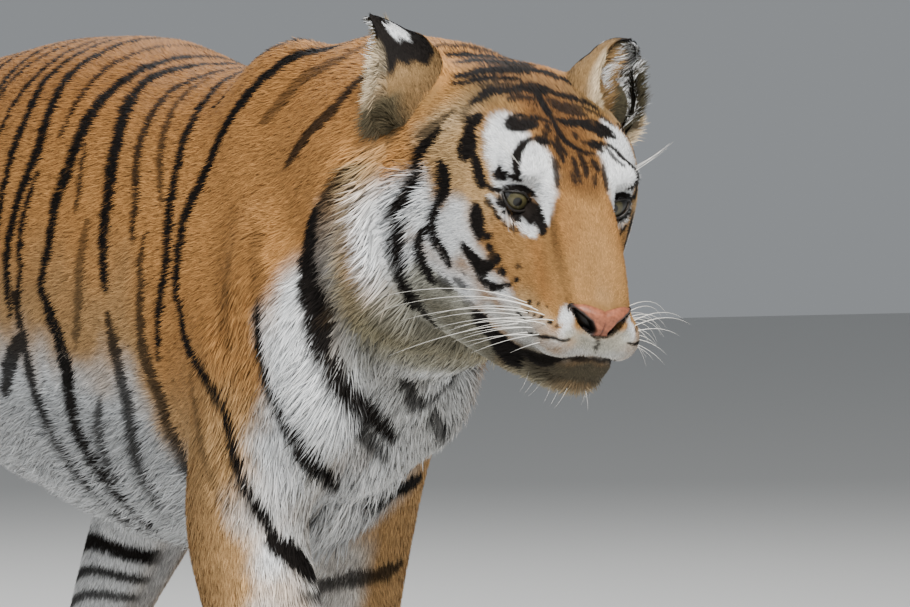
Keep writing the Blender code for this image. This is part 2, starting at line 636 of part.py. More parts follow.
def main():
    clear_scene()
    tiger = new_collection("tiger")
    helpers = new_collection("cutters")
    helpers.hide_render = True
    whole = whole_body(tiger)

    bm = bmesh.new()
    bmesh.ops.create_cube(bm, size=1, matrix=Matrix.Translation((0, 0.5, -0.25))
                          @ Matrix.Diagonal((2, 4, 0.5, 1)))
    ground = cutter_mesh("ground_cut", bm, helpers)
    pieces = {}
    insets = []
    for side_name in SIDES:
        for kind, form in (("ear_", add_ear), ("eye_", add_eye)):
            bm = bmesh.new()
            form(bm, side_name)
            pieces[kind + side_name] = object_from(bm, kind + side_name, tiger)
            bm = bmesh.new()
            form(bm, side_name)
            grown(bm, PIECE_GAP)
            insets.append(cutter_mesh(kind + "slot_" + side_name, bm, helpers))

    limb_anchors = {"trunk": (0, 0.30, 0.66)}
    for name, (centre, _, _) in BUBBLES.items():
        limb_anchors[name] = (centre[0] * 0.85, centre[1], centre[2])
    for side_name in SIDES:
        forearm, wrist = FORE[side_name][2], FORE[side_name][3]
        knee, hock, paw = HIND[side_name]
        limb_anchors[side_name + "_forearm"] = (wrist[0], wrist[1], 0.18)
        limb_anchors[side_name + "_shank"] = (hock[0], (hock[1] + paw[1]) / 2, 0.18)
    cutters = [ground] + [bubble(name + "_cut", *BUBBLES[name], helpers)
                          for name in BUBBLES]
    limbs = parted(whole, cutters, limb_anchors, tiger)
    for name in BUBBLES:
        pieces[name] = limbs[name]
    for side_name in SIDES:
        pieces.update(leg_parts(limbs, side_name, tiger, helpers))

    trunk_cuts = [
        slab("skull_cut", (0, -0.292, 0.790), (0, -1, 0.130), 0.60, helpers),
        slab("neck_cut", (0, -0.125, 0.740), (0, -1, 0.10), 0.70, helpers),
        slab("rib_cut", (0, 0.340, 0.660), (0, 1, 0), 0.80, helpers),
        slab("loin_cut", (0, 0.610, 0.690), (0, 1, 0), 0.80, helpers),
        slab("tail_root_cut", (0, 1.085, 0.722), (0, 1, -0.90), 0.24, helpers),
        slab("tail_cut_1", (0, 1.200, 0.495), (0, 0.36, -1), 0.20, helpers),
        slab("tail_cut_2", (0, 1.340, 0.257), (0, 1, -0.95), 0.20, helpers),
        slab("tail_cut_3", (0, 1.520, 0.212), (0, 1, 0.25), 0.20, helpers),
    ]
    pieces.update(parted(limbs["trunk"], trunk_cuts + insets, {
        "head": (0, -0.46, 0.74), "neck": (0, -0.21, 0.76), "chest": (0, 0.10, 0.66),
        "abdomen": (0, 0.47, 0.66), "hindquarters": (0, 0.80, 0.70),
        "tail_root": (0, 1.14, 0.62), "tail_middle": (0, 1.26, 0.37),
        "tail_lower": (0, 1.43, 0.21), "tail_tip": (0, 1.59, 0.26),
    }, tiger))
    pieces.update(parted(pieces["head"], [jaw_line(helpers)], {
        "head": (0, -0.42, 0.78), "lower_jaw": (0, -0.50, 0.60)}, tiger))

    coats = [  # the first that a part's name holds a word of
        (("eye",), material("eye_glass", (0.10, 0.09, 0.04), 0.15)),
        (("ear_left", "ear_right"), material("ear_black", (0.03, 0.025, 0.02), 0.85)),
        (("jaw",), material("coat_white", (0.75, 0.70, 0.62), 0.85)),
        (("paw", "metatarsus", "shank", "forearm"),
         material("coat_tan", (0.66, 0.43, 0.24), 0.85)),
        (("",), material("coat_orange", (0.60, 0.31, 0.12), 0.85)),
    ]
    corners = []
    for name, piece in pieces.items():
        piece.data.materials.clear()
        piece.data.materials.append(next(coat for words, coat in coats
                                         if any(word in name for word in words)))
        corners += [v.co.copy() for v in piece.data.vertices]
    middle = Vector([(min(c[i] for c in corners) + max(c[i] for c in corners)) / 2
                     for i in range(3)])
    middle.z = min(c[2] for c in corners)
    for piece in list(tiger.objects) + list(helpers.objects):
        piece.data.transform(Matrix.Translation(-middle))


main()
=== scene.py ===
"""A life-size walking Amur tiger: skin, striped coat, face and eyes over the frame.

One skin covers every part of flesh, a little inside the frame's solids, and tufts of
hair stand on it up to them. Skin and hair take their colour from one account of the
markings: washes of white, cream and orange, and strokes of black hair, each a chain of
points with a radius. Body points are metres in the frame. Head points are centimetres
in the head's own frame: origin midway between the irises, x to the tiger's left, y back
from the irises and z up.
"""
import math

import bpy
import numpy as np
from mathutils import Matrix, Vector
from mathutils.bvhtree import BVHTree


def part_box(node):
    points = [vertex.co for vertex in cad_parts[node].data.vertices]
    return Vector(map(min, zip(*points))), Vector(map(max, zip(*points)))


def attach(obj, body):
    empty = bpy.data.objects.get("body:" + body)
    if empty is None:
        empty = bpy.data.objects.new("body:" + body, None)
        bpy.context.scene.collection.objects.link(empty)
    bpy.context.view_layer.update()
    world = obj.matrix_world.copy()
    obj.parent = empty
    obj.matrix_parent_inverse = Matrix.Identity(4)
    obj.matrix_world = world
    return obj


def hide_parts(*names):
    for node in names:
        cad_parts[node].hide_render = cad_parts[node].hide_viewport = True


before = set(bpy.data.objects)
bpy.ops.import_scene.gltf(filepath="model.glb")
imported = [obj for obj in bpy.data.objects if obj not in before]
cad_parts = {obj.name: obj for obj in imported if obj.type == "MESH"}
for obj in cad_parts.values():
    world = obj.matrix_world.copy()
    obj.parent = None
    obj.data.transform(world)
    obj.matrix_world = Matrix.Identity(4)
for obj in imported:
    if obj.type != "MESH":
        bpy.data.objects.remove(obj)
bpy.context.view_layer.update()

rng = np.random.default_rng(7)
marks = {}                      # strokes by part, once they are laid on the skin
CM = 0.01
VOXEL = 0.0039                  # size of the cells that join the flesh
SKIN_TRIANGLES = 118_000
FLOOR_GAP = 0.0008              # how far hair tips stay above the floor
TUFT_SHARE = 1.0

# ------------------------------------------------------------------ colours, linear

ORANGE = (0.560, 0.275, 0.090)
DEEP_ORANGE = (0.350, 0.155, 0.048)
FACE_ORANGE = (0.345, 0.182, 0.066)
EAR_TAN = (0.265, 0.165, 0.075)
RUSSET = (0.150, 0.070, 0.024)
TAN = (0.515, 0.330, 0.155)
CREAM = (0.640, 0.520, 0.350)
WHITE = (0.840, 0.860, 0.880)
# white of the muzzle's pads, greyed as painted shade
SHADED_PAD_WHITE = (0.600, 0.590, 0.560)
# white greyed as painted shade, under the jaw and under the nose
SHADED_WHITE = (0.380, 0.370, 0.310)
# olive ruff hair, darkened as painted shade under the head
RUFF_OLIVE_IN_SHADE = (0.290, 0.265, 0.170)
RUFF_TAN = (0.360, 0.285, 0.165)
GREY_BROWN = (0.120, 0.104, 0.064)
# brown of the band behind the ruff, with painted shade round it
BAND_BROWN_AND_SHADE = (0.090, 0.060, 0.030)
CROWN_BROWN = (0.250, 0.150, 0.055)
BROW_GREY = (0.320, 0.260, 0.180)
# throat under the chin, darkened as painted shade
THROAT_OLIVE_IN_SHADE = (0.300, 0.270, 0.190)
MOUTH_SHADE = (0.072, 0.070, 0.052)
EAR_FOOT_TAN = (0.260, 0.155, 0.060)
# dark hair and painted shade in the hollow under the ear
EAR_HOLLOW_HAIR_AND_SHADE = (0.035, 0.028, 0.020)
LID_BLACK = (0.016, 0.012, 0.010)
BLACK = (0.012, 0.010, 0.009)
NOSE_PINK = (0.250, 0.085, 0.045)
IRIS_OLIVE = (0.044, 0.039, 0.016)

# ------------------------------------------------------------------ the head's own frame


def turn(axis, degrees):
    """The 3 x 3 matrix that turns by degrees about axis 0, 1 or 2."""
    c, s = math.cos(math.radians(degrees)), math.sin(math.radians(degrees))
    j, k = (axis + 1) % 3, (axis + 2) % 3
    made = np.eye(3)
    made[j, j], made[k, k], made[j, k], made[k, j] = c, c, -s, s
    return made


def middle_of(node):
    low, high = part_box(node)
    return (np.array(low) + np.array(high)) / 2


EYE_SIDES = {"right": -1, "left": 1}
EYE_BACK = 1.86                 # cm from the plane of the irises back to the eyes' centres
HEAD_TURN = turn(2, -6.2) @ turn(0, 21.7) @ turn(1, 4.5)
EYE_MIDDLE = (middle_of("eye_left") + middle_of("eye_right")) / 2
HEAD_ORIGIN = EYE_MIDDLE - HEAD_TURN @ np.array([0, EYE_BACK, -0.1]) * CM


def to_head(points):
    return (np.asarray(points) - HEAD_ORIGIN) @ HEAD_TURN / CM


def from_head(points):
    return np.asarray(points) * CM @ HEAD_TURN.T + HEAD_ORIGIN


# ------------------------------------------------------------------ number tools


def unit(v):
    return v / np.maximum(np.linalg.norm(v, axis=-1, keepdims=True), 1e-12)


def ease(x, low, high):
    """0 below low, 1 above high, and the smooth cubic 3t^2 - 2t^3 between them."""
    t = np.clip((x - low) / (high - low), 0, 1)
    return t * t * (3 - 2 * t)


def turns(count):
    """Angles of count equal steps round a circle, in radians."""
    return np.arange(count) * 2 * math.pi / count


def folded(points, owners):
    """Points brought to the tiger's right: x turned over where their owners lie left."""
    return points * np.where(owners[:, :1] > 0, (-1, 1, 1), (1, 1, 1))


def curve_through(rows, steps):
    """The Catmull-Rom curve through equal steps of rows, at steps points in each step."""
    rows = np.asarray(rows, float)
    at = np.linspace(0, len(rows) - 1, (len(rows) - 1) * steps + 1)
    i = np.minimum(at.astype(int), len(rows) - 2)
    t = (at - i).reshape((-1,) + (1,) * (rows.ndim - 1))
    a, b, c, d = (rows[np.clip(i + k, 0, len(rows) - 1)] for k in (-1, 0, 1, 2))
    return 0.5 * (2 * b + (c - a) * t + (2 * a - 5 * b + 4 * c - d) * t ** 2
                  + (3 * b - a - 3 * c + d) * t ** 3)


def ripple(points, size, seed=0.0):
    """A cheap smooth noise from -1 to 1: sines along three skew directions, multiplied."""
    p = np.asarray(points) * (2 * math.pi / size)
    a = np.sin(p @ (0.80, 0.45, 0.39) + seed + 1.3 * np.sin(p @ (0.21, -0.62, 0.55)))
    b = np.sin(p @ (-0.37, 0.71, 0.60) + 2.1 * seed + 1.7 * np.sin(p @ (0.5, 0.3, -0.4)))
    return 0.6 * a * b + 0.4 * np.sin(p @ (0.33, -0.52, 0.79) - seed)


# ------------------------------------------------------------------ mesh tools


def mesh_from(name, points, faces, colours=None, normals=None, uv=None):
    """A mesh object from arrays: points (n, 3), faces (m, k) with k the same for all."""
    points, faces = np.asarray(points, np.float32), np.asarray(faces, np.int32)
    mesh = bpy.data.meshes.new(name)
    mesh.vertices.add(len(points))
    mesh.vertices.foreach_set("co", points.ravel())
    mesh.loops.add(faces.size)
    mesh.loops.foreach_set("vertex_index", faces.ravel())
    mesh.polygons.add(len(faces))
    mesh.polygons.foreach_set("loop_start", np.arange(0, faces.size, faces.shape[1],
                                                      dtype=np.int32))
    mesh.polygons.foreach_set("use_smooth", np.ones(len(faces), bool))
    mesh.update(calc_edges=True)
    if colours is not None:
        layer = mesh.color_attributes.new("coat", "FLOAT_COLOR", "POINT")
        filled = np.ones((len(points), 4), np.float32)
        filled[:, :3] = colours
        layer.data.foreach_set("color", filled.ravel())
    if uv is not None:
        mesh.uv_layers.new(name="OFBake").data.foreach_set(
            "uv", np.asarray(uv, np.float32)[faces.ravel()].ravel())
    if normals is not None:
        mesh.normals_split_custom_set_from_vertices(np.asarray(normals, np.float32))
    obj = bpy.data.objects.new(name, mesh)
    bpy.context.scene.collection.objects.link(obj)
    return obj


def grid_faces(rows, columns, closed=False):
    """Quads between the points of a rows x columns grid, whose columns may close."""
    i, j = np.meshgrid(np.arange(rows - 1), np.arange(columns - (not closed)), indexing="ij")
    a, n = i * columns + j, (j + 1) % columns
    return np.stack([a, i * columns + n, (i + 1) * columns + n, a + columns],
                    -1).reshape(-1, 4)


def closed_tube(rings):
    """(points, triangles) of rings (rows, around, 3), with a point closing each end."""
    rows, around = rings.shape[:2]
    quads = grid_faces(rows, around, closed=True)
    points = np.concatenate([rings.reshape(-1, 3), rings[:1].mean(1), rings[-1:].mean(1)])
    j = np.arange(around)
    n = (j + 1) % around
    first = np.stack([np.full(around, rows * around), n, j], -1)
    last = (rows - 1) * around
    second = np.stack([np.full(around, rows * around + 1), last + j, last + n], -1)
    return points, np.concatenate([quads[:, [0, 1, 2]], quads[:, [0, 2, 3]], first, second])


def oval(centre, radii, tilt=0.0, around=40):
    """An ellipsoid in head centimetres: circles whose radius is the sine of their place."""
    down = np.linspace(0.02, math.pi - 0.02, around // 2)
    about = turns(around)
    rings = np.stack([np.outer(np.sin(down), np.cos(about)),
                      np.outer(np.cos(down), np.ones(around)),
                      np.outer(np.sin(down), np.sin(about))], -1) * radii
    return closed_tube(rings @ turn(0, tilt).T + centre)


def circles(path, one, two, radius, around):
    """Rings about a path's points: path + radius (one cos a + two sin a), a going round."""
    angle = turns(around)[None, :, None]
    return path[:, None] + (np.cos(angle) * one[:, None] + np.sin(angle) * two[:, None]) \
        * radius.reshape(-1, 1, 1)


def joined(parts):
    """Many (points, faces) as one: faces are shifted past the points of those before."""
    starts = np.cumsum([0] + [len(points) for points, _ in parts])
    return (np.concatenate([points for points, _ in parts]),
            np.concatenate([faces + start for (_, faces), start in zip(parts, starts)]))


def arrays_of(obj):
    """(points, triangles) of an object with its modifiers applied."""
    graph = bpy.context.evaluated_depsgraph_get()
    mesh = obj.evaluated_get(graph).to_mesh()
    mesh.calc_loop_triangles()
    points = np.empty(len(mesh.vertices) * 3, np.float32)
    mesh.vertices.foreach_get("co", points)
    faces = np.empty(len(mesh.loop_triangles) * 3, np.int32)
    mesh.loop_triangles.foreach_get("vertices", faces)
    obj.evaluated_get(graph).to_mesh_clear()
    return points.reshape(-1, 3).astype(float), faces.reshape(-1, 3)


def normals_of(points, faces):
    """Vertex normals: the sum of the area normals of the faces around each point."""
    across = np.cross(points[faces[:, 1]] - points[faces[:, 0]],
                      points[faces[:, 2]] - points[faces[:, 0]])
    total = np.stack([np.bincount(faces.ravel(), np.repeat(across[:, k], 3), len(points))
                      for k in range(3)], -1)
    return unit(total)


def edges_of(faces):
    ends = np.concatenate([faces[:, [0, 1]], faces[:, [1, 2]], faces[:, [2, 0]]])
    return np.unique(np.sort(ends, axis=1), axis=0)


def relaxed(points, edges, share, passes):
    """Moves each point towards the mean of its neighbours by share, again and again."""
    ends = np.concatenate([edges, edges[:, ::-1]])
    count = np.bincount(ends[:, 0], minlength=len(points))[:, None]
    for _ in range(passes):
        mean = np.stack([np.bincount(ends[:, 0], points[ends[:, 1], k], len(points))
                         for k in range(3)], -1) / np.maximum(count, 1)
        points = points + (mean - points) * share[:, None]
    return points


# ------------------------------------------------------------------ materials


class Socket:
    """A node's output, or a number, on which arithmetic adds Math nodes."""

    def __init__(self, tree, link):
        self.tree, self.link = tree, link

    def join(self, operation, other, flip=False):
        ends = (other, self) if flip else (self, other)
        return node(self.tree, "ShaderNodeMath", {"operation": operation},
                    {0: ends[0], 1: ends[1]})

    def __add__(self, other):
        return self.join("ADD", other)

    def __mul__(self, other):
        return self.join("MULTIPLY", other)

    def __rsub__(self, other):
        return self.join("SUBTRACT", other, flip=True)

    __radd__, __rmul__ = __add__, __mul__


def node(tree, kind, settings, inputs, output=0):
    """Adds a node, makes its settings, fills or links its sockets, returns one output."""
    made = tree.nodes.new(kind)
    for key, value in settings.items():
        setattr(made, key, value)
    for key, value in inputs.items():
        if isinstance(value, Socket):
            tree.links.new(value.link, made.inputs[key])
        else:
            made.inputs[key].default_value = value
    return Socket(tree, made.outputs[output])


def finish(name, roughness, constants):
    """A new material: its node tree and its Principled shader with constants set."""
    made = bpy.data.materials.new(name)
    made.use_nodes = True
    shader = made.node_tree.nodes["Principled BSDF"]
    shader.inputs["Roughness"].default_value = roughness
    for key, value in constants.items():
        shader.inputs[key].default_value = value
    return made, made.node_tree, shader


def painted(tree):
    """The colour that the mesh's coat attribute holds."""
    return node(tree, "ShaderNodeVertexColor", {"layer_name": "coat"}, {})


def noise(tree, scale, detail=2.0, stretch=(1, 1, 1)):
    place = node(tree, "ShaderNodeTexCoord", {}, {}, "Object")
    place = node(tree, "ShaderNodeMapping", {}, {"Vector": place, "Scale": stretch})
    return node(tree, "ShaderNodeTexNoise", {}, {"Vector": place, "Scale": scale,
                                                 "Detail": detail}, "Fac")


def link(tree, value, shader, key):
    tree.links.new(value.link, shader.inputs[key])


def hair_finish():
    """Tufts: their painted colour, dry and soft, with a faint sheen."""
    made, tree, shader = finish("hair", 0.65, {"Specular IOR Level": 0.06})
    link(tree, painted(tree), shader, "Base Color")
    return made


def skin_finish():
    """Skin under the hair: the same markings, darker, broken up by fine short fur."""
    made, tree, shader = finish("short_fur", 0.8, {"Specular IOR Level": 0.06})
    fine = noise(tree, 420.0, 3.0, (1, 0.35, 0.6))
    clumps = noise(tree, 90.0, 2.0, (1, 0.35, 0.6))
    shade = node(tree, "ShaderNodeMix", {"data_type": "RGBA", "blend_type": "MULTIPLY"},
                 {0: 0.35 + 0.3 * (1 - clumps), 6: painted(tree),
                  7: node(tree, "ShaderNodeValToRGB", {}, {"Fac": fine})}, 2)
    link(tree, shade, shader, "Base Color")
    bump = node(tree, "ShaderNodeBump", {}, {"Strength": 0.5, "Distance": 0.002,
                                             "Height": 0.7 * fine + 0.3 * clumps})
    link(tree, bump, shader, "Normal")
    return made


def leather_finish():
    """Nose pad and lips: damp pebbled leather in its painted colours."""
    made, tree, shader = finish("nose_leather", 0.42, {"Specular IOR Level": 0.35})
    link(tree, painted(tree), shader, "Base Color")
    link(tree, 0.30 + 0.24 * noise(tree, 300.0), shader, "Roughness")
    cells = node(tree, "ShaderNodeTexVoronoi", {}, {
        "Vector": node(tree, "ShaderNodeTexCoord", {}, {}, "Object"), "Scale": 900.0},
        "Distance")
    bump = node(tree, "ShaderNodeBump", {}, {"Strength": 0.35, "Distance": 0.0006,
                                             "Height": cells})
    link(tree, bump, shader, "Normal")
    return made


def eye_finish():
    """The eyeball: painted iris under a clear wet coat."""
    made, tree, shader = finish("eye", 0.4, {"Specular IOR Level": 0.2, "Coat Weight": 1.0,
                                             "Coat Roughness": 0.03, "Coat IOR": 1.34})
    link(tree, painted(tree), shader, "Base Color")
    return made


def whisker_finish():
    """Stiff white hair, here and there a little yellow."""
    made, tree, shader = finish("whisker", 0.35, {})
    tint = node(tree, "ShaderNodeMix", {"data_type": "RGBA"},
                {0: noise(tree, 30.0), 6: (0.88, 0.87, 0.84, 1), 7: (0.78, 0.74, 0.66, 1)}, 2)
    link(tree, tint, shader, "Base Color")
    return made


# ------------------------------------------------------------------ markings of the body

# Painted shade on throat and chest, both sides, and round the dark band behind the ruff: colour,
# strength, edge, (x, y, z, radius).
BODY_WASHES = [
    (RUFF_OLIVE_IN_SHADE, .85, .030, [(-.105, -.782, .672, .026), (-.078, -.770, .632, .030),
                             (-.040, -.785, .614, .030), (.0, -.790, .610, .028)]),
    (GREY_BROWN, .62, .030, [(-.120, -.790, .690, .016), (-.095, -.757, .640, .026),
                             (-.060, -.735, .603, .026), (.0, -.690, .575, .026)]),
    (GREY_BROWN, .45, .030, [(-.050, -.800, .640, .020), (.0, -.822, .615, .030)]),
    (GREY_BROWN, .50, .028, [(-.055, -.640, .520, .018), (.0, -.650, .520, .030)]),
    (BAND_BROWN_AND_SHADE, .85, .014, [(-.130, -.795, .800, .010), (-.137, -.768, .757, .018),
                             (-.136, -.744, .710, .021), (-.130, -.740, .660, .020),
                             (-.119, -.742, .610, .018)]),
]

# Strokes on the right flank and shoulder: strength, radius, points (x, y, z).
RIGHT_STROKES = [
    (1.0, .0055, [(-.145, -.075, .842), (-.160, -.080, .813), (-.172, -.087, .781),
                  (-.180, -.090, .740), (-.182, -.085, .660)]),
    (1.0, .0045, [(-.125, .025, .877), (-.090, .025, .908), (-.060, .010, .926),
                  (.0, .005, .932)]),
    (1.0, .0050, [(-.150, -.030, .833), (-.135, -.027, .861), (-.112, -.026, .889),
                  (-.088, -.029, .911), (-.050, -.036, .930), (.0, -.04, .936)]),
    (1.0, .0075, [(-.187, -.125, .640), (-.184, -.120, .708), (-.175, -.128, .760),
                  (-.158, -.140, .813), (-.144, -.132, .843), (-.111, -.113, .891),
                  (-.084, -.111, .915), (-.050, -.120, .930), (.0, -.125, .936)]),
    (1.0, .0048, [(-.183, -.143, .645), (-.186, -.153, .687), (-.180, -.146, .730),
                  (-.164, -.156, .793)]),
    (1.0, .0062, [(-.176, -.090, .765), (-.164, -.087, .802), (-.138, -.079, .855),
                  (-.106, -.061, .896), (-.075, -.070, .921), (.0, -.075, .937)]),
    (1.0, .0085, [(-.182, -.197, .667), (-.176, -.211, .720), (-.172, -.210, .752),
                  (-.149, -.213, .814), (-.120, -.206, .862), (-.081, -.213, .898),
                  (-.045, -.226, .917), (.0, -.235, .922)]),
    (.95, .0040, [(-.144, -.174, .834), (-.131, -.168, .855), (-.089, -.164, .904),
                  (-.050, -.172, .925), (.0, -.178, .930)]),
    (.90, .0036, [(-.168, -.256, .753), (-.158, -.247, .783), (-.142, -.228, .825)]),
    (.65, .0075, [(-.178, -.268, .610), (-.176, -.278, .657), (-.174, -.278, .701),
                  (-.167, -.282, .742)]),
    (1.0, .0085, [(-.172, -.333, .671), (-.164, -.316, .743), (-.155, -.311, .774),
                  (-.129, -.282, .831), (-.096, -.251, .877), (-.071, -.248, .898),
                  (-.042, -.262, .909), (.0, -.285, .914)]),
    (.92, .0060, [(-.159, -.378, .725), (-.149, -.364, .775), (-.139, -.344, .805),
                  (-.122, -.328, .836), (-.099, -.316, .867), (-.074, -.313, .887),
                  (-.040, -.335, .901), (.0, -.345, .905)]),
    (.85, .0050, [(-.165, -.405, .620), (-.163, -.399, .693), (-.159, -.402, .730)]),
    (.80, .0048, [(-.148, -.419, .765), (-.125, -.378, .826), (-.106, -.359, .856),
                  (-.084, -.347, .877), (-.050, -.350, .896)]),
    (1.0, .0058, [(-.164, -.430, .600), (-.160, -.437, .654), (-.156, -.447, .705),
                  (-.146, -.435, .765), (-.130, -.425, .806), (-.110, -.412, .843),
                  (-.080, -.400, .877), (-.040, -.385, .900), (.0, -.378, .905)]),
    (1.0, .0070, [(-.156, -.468, .665), (-.152, -.466, .710), (-.143, -.468, .755),
                  (-.131, -.480, .790), (-.117, -.492, .835), (-.108, -.515, .866),
                  (-.090, -.556, .905), (-.074, -.578, .923), (-.055, -.600, .932),
                  (-.020, -.640, .932), (.0, -.655, .932)]),
    (.95, .0048, [(-.092, -.430, .868), (-.082, -.446, .895), (-.072, -.480, .920),
                  (-.062, -.521, .937), (-.040, -.555, .940), (.0, -.575, .935)]),
    (.62, .0085, [(-.110, -.580, .855), (-.098, -.605, .878), (-.082, -.622, .902),
                  (-.068, -.670, .917), (-.040, -.690, .930)]),
    (.90, .0080, [(-.127, -.663, .811), (-.121, -.700, .845), (-.112, -.736, .868),
                  (-.095, -.748, .893), (-.080, -.760, .905)]),
    (.30, .0100, [(-.158, -.600, .720), (-.168, -.592, .674), (-.170, -.606, .620)]),
    (.45, .0060, [(-.165, -.518, .585), (-.168, -.535, .540), (-.168, -.570, .490),
                  (-.160, -.586, .455)]),
    # the long stripe down the back of the upper arm and round its front
    (1.0, .0062, [(-.157, -.468, .670), (-.163, -.500, .622), (-.171, -.560, .586),
                  (-.170, -.601, .554), (-.165, -.609, .509), (-.159, -.615, .481),
                  (-.143, -.621, .451), (-.113, -.617, .416)]),
    (1.0, .0110, [(-.120, -.617, .418), (-.085, -.615, .389), (-.062, -.605, .375)]),
    (.90, .0080, [(-.060, -.600, .372), (-.050, -.590, .345), (-.047, -.585, .310)]),
    # front of the shoulder
    (.38, .0085, [(-.159, -.647, .740), (-.165, -.665, .691), (-.168, -.668, .650)]),
    (1.0, .0052, [(-.166, -.668, .668), (-.160, -.668, .616), (-.151, -.676, .573)]),
    (1.0, .0090, [(-.152, -.674, .580), (-.138, -.685, .543), (-.119, -.685, .516),
                  (-.084, -.648, .495), (-.047, -.598, .482), (-.025, -.578, .467)]),
    # the dark band behind the ruff
    (.80, .0095, [(-.128, -.815, .803), (-.136, -.792, .791), (-.140, -.765, .777)]),
    (1.0, .0120, [(-.140, -.752, .762), (-.138, -.732, .731), (-.136, -.727, .700),
                  (-.133, -.732, .660), (-.130, -.738, .620)]),
    (1.0, .0100, [(-.130, -.738, .622), (-.114, -.743, .592), (-.096, -.735, .570),
                  (-.070, -.705, .562), (-.047, -.675, .558), (-.024, -.660, .548),
                  (-.001, -.642, .534), (.018, -.625, .520)]),
    (.85, .0070, [(-.088, -.728, .556), (-.055, -.690, .540), (-.023, -.635, .526),
                  (-.002, -.620, .512), (.018, -.608, .499)]),
    # belly, below the flank stripes
    (.95, .0085, [(-.184, -.137, .660), (-.179, -.150, .609), (-.168, -.155, .555),
                  (-.147, -.165, .500), (-.110, -.180, .440), (-.03, -.19, .395)]),
    (.95, .0105, [(-.172, -.075, .545), (-.177, -.112, .583), (-.180, -.138, .610)]),
    (1.0, .0110, [(-.182, -.200, .667), (-.176, -.236, .600), (-.164, -.234, .552),
                  (-.151, -.228, .514), (-.120, -.235, .460), (-.06, -.24, .410)]),
    (.90, .0095, [(-.168, -.340, .640), (-.159, -.353, .564), (-.147, -.349, .519),
                  (-.132, -.331, .480), (-.100, -.320, .430)]),
    (.85, .0080, [(-.160, -.298, .548), (-.143, -.270, .498), (-.120, -.262, .455)]),
    (.85, .0080, [(-.165, -.402, .660), (-.161, -.402, .609), (-.150, -.418, .560),
                  (-.138, -.424, .515), (-.110, -.420, .455)]),
    # rear flank, loin and haunch, which carry on in the same rhythm
    (1.0, .0065, [(-.185, -.020, .560), (-.188, -.035, .640), (-.186, -.030, .720),
                  (-.172, -.010, .800), (-.140, .030, .860), (-.090, .050, .905),
                  (.0, .045, .930)]),
    (.90, .0045, [(-.187, .010, .700), (-.182, .020, .760), (-.165, .045, .815)]),
    (1.0, .0075, [(-.186, .050, .540), (-.190, .030, .620), (-.188, .040, .710),
                  (-.172, .070, .800), (-.135, .105, .865), (-.08, .115, .905),
                  (.0, .11, .925)]),
    (.90, .0050, [(-.180, .085, .760), (-.155, .125, .830), (-.110, .150, .882),
                  (-.05, .155, .910), (.0, .155, .918)]),
    (1.0, .0080, [(-.190, .115, .520), (-.194, .100, .600), (-.192, .110, .700),
                  (-.178, .145, .780), (-.145, .190, .845), (-.09, .205, .890),
                  (.0, .20, .910)]),
    (1.0, .0070, [(-.196, .175, .560), (-.196, .180, .650), (-.188, .200, .730),
                  (-.165, .245, .800), (-.12, .265, .855), (-.05, .27, .890),
                  (.0, .27, .895)]),
    (1.0, .0080, [(-.190, .120, .450), (-.196, .160, .480), (-.198, .230, .540),
                  (-.196, .265, .630), (-.184, .290, .710), (-.155, .330, .780),
                  (-.10, .345, .835), (.0, .34, .868)]),
    (1.0, .0075, [(-.180, .200, .420), (-.190, .260, .450), (-.192, .320, .520),
                  (-.186, .350, .610), (-.170, .370, .690), (-.13, .405, .760),
                  (-.06, .42, .82), (.0, .42, .84)]),
    (1.0, .0070, [(-.160, .285, .390), (-.172, .340, .420), (-.178, .390, .490),
                  (-.168, .420, .580), (-.145, .440, .660), (-.10, .47, .735),
                  (-.04, .49, .79)]),
    # hind leg, over its outside
    (1.0, .0070, [(-.155, .375, .350), (-.150, .440, .385), (-.10, .46, .41)]),
    (1.0, .0065, [(-.165, .300, .345), (-.150, .400, .320), (-.11, .44, .33)]),
    (.90, .0055, [(-.150, .430, .290), (-.130, .500, .315)]),
    (.80, .0050, [(-.145, .440, .230), (-.130, .520, .245)]),
    (.85, .0060, [(-.172, .290, .425), (-.150, .370, .440), (-.100, .420, .465)]),
    (.75, .0052, [(-.140, .450, .185), (-.125, .505, .200)]),
    (.65, .0048, [(-.135, .455, .145), (-.120, .505, .160)]),
    # foreleg, over its outside and back
    (.75, .0050, [(-.165, -.500, .380), (-.160, -.478, .400)]),
    (.60, .0045, [(-.160, -.520, .300), (-.140, -.490, .310)]),
    (.60, .0045, [(-.160, -.530, .340), (-.150, -.488, .352)]),
    (.50, .0040, [(-.140, -.560, .243), (-.125, -.520, .250)]),
]

# Strokes of the left side alone: its chest, and its legs, which stand elsewhere.
LEFT_STROKES = [
    (1.0, .0095, [(.045, -.530, .435), (.080, -.505, .445), (.112, -.480, .455),
                  (.140, -.472, .466)]),
    (.90, .0065, [(.050, -.425, .350), (.080, -.445, .358), (.105, -.449, .361),
                  (.135, -.443, .370)]),
    (.80, .0060, [(.060, -.640, .545), (.085, -.610, .528), (.105, -.590, .510)]),
    (.90, .0080, [(-.012, -.703, .586), (.007, -.686, .571), (.031, -.664, .558),
                  (.058, -.656, .570), (.086, -.645, .592)]),
    # outside of the far foreleg and hind leg
    (.75, .0050, [(.160, -.375, .415), (.140, -.330, .430)]),
    (.65, .0045, [(.150, -.365, .340), (.130, -.325, .350)]),
    (.55, .0045, [(.135, -.380, .262), (.115, -.345, .270)]),
    (.95, .0075, [(.175, .090, .440), (.160, .165, .452), (.120, .215, .475)]),
    (.95, .0070, [(.170, .095, .392), (.150, .165, .400), (.110, .205, .418)]),
    (.90, .0065, [(.155, .130, .335), (.145, .185, .345), (.105, .220, .362)]),
    (.90, .0060, [(.148, .160, .290), (.135, .215, .298), (.100, .245, .312)]),
    (.80, .0055, [(.140, .200, .243), (.130, .245, .250), (.095, .268, .262)]),
    (.70, .0050, [(.128, .215, .196), (.095, .262, .206)]),
]

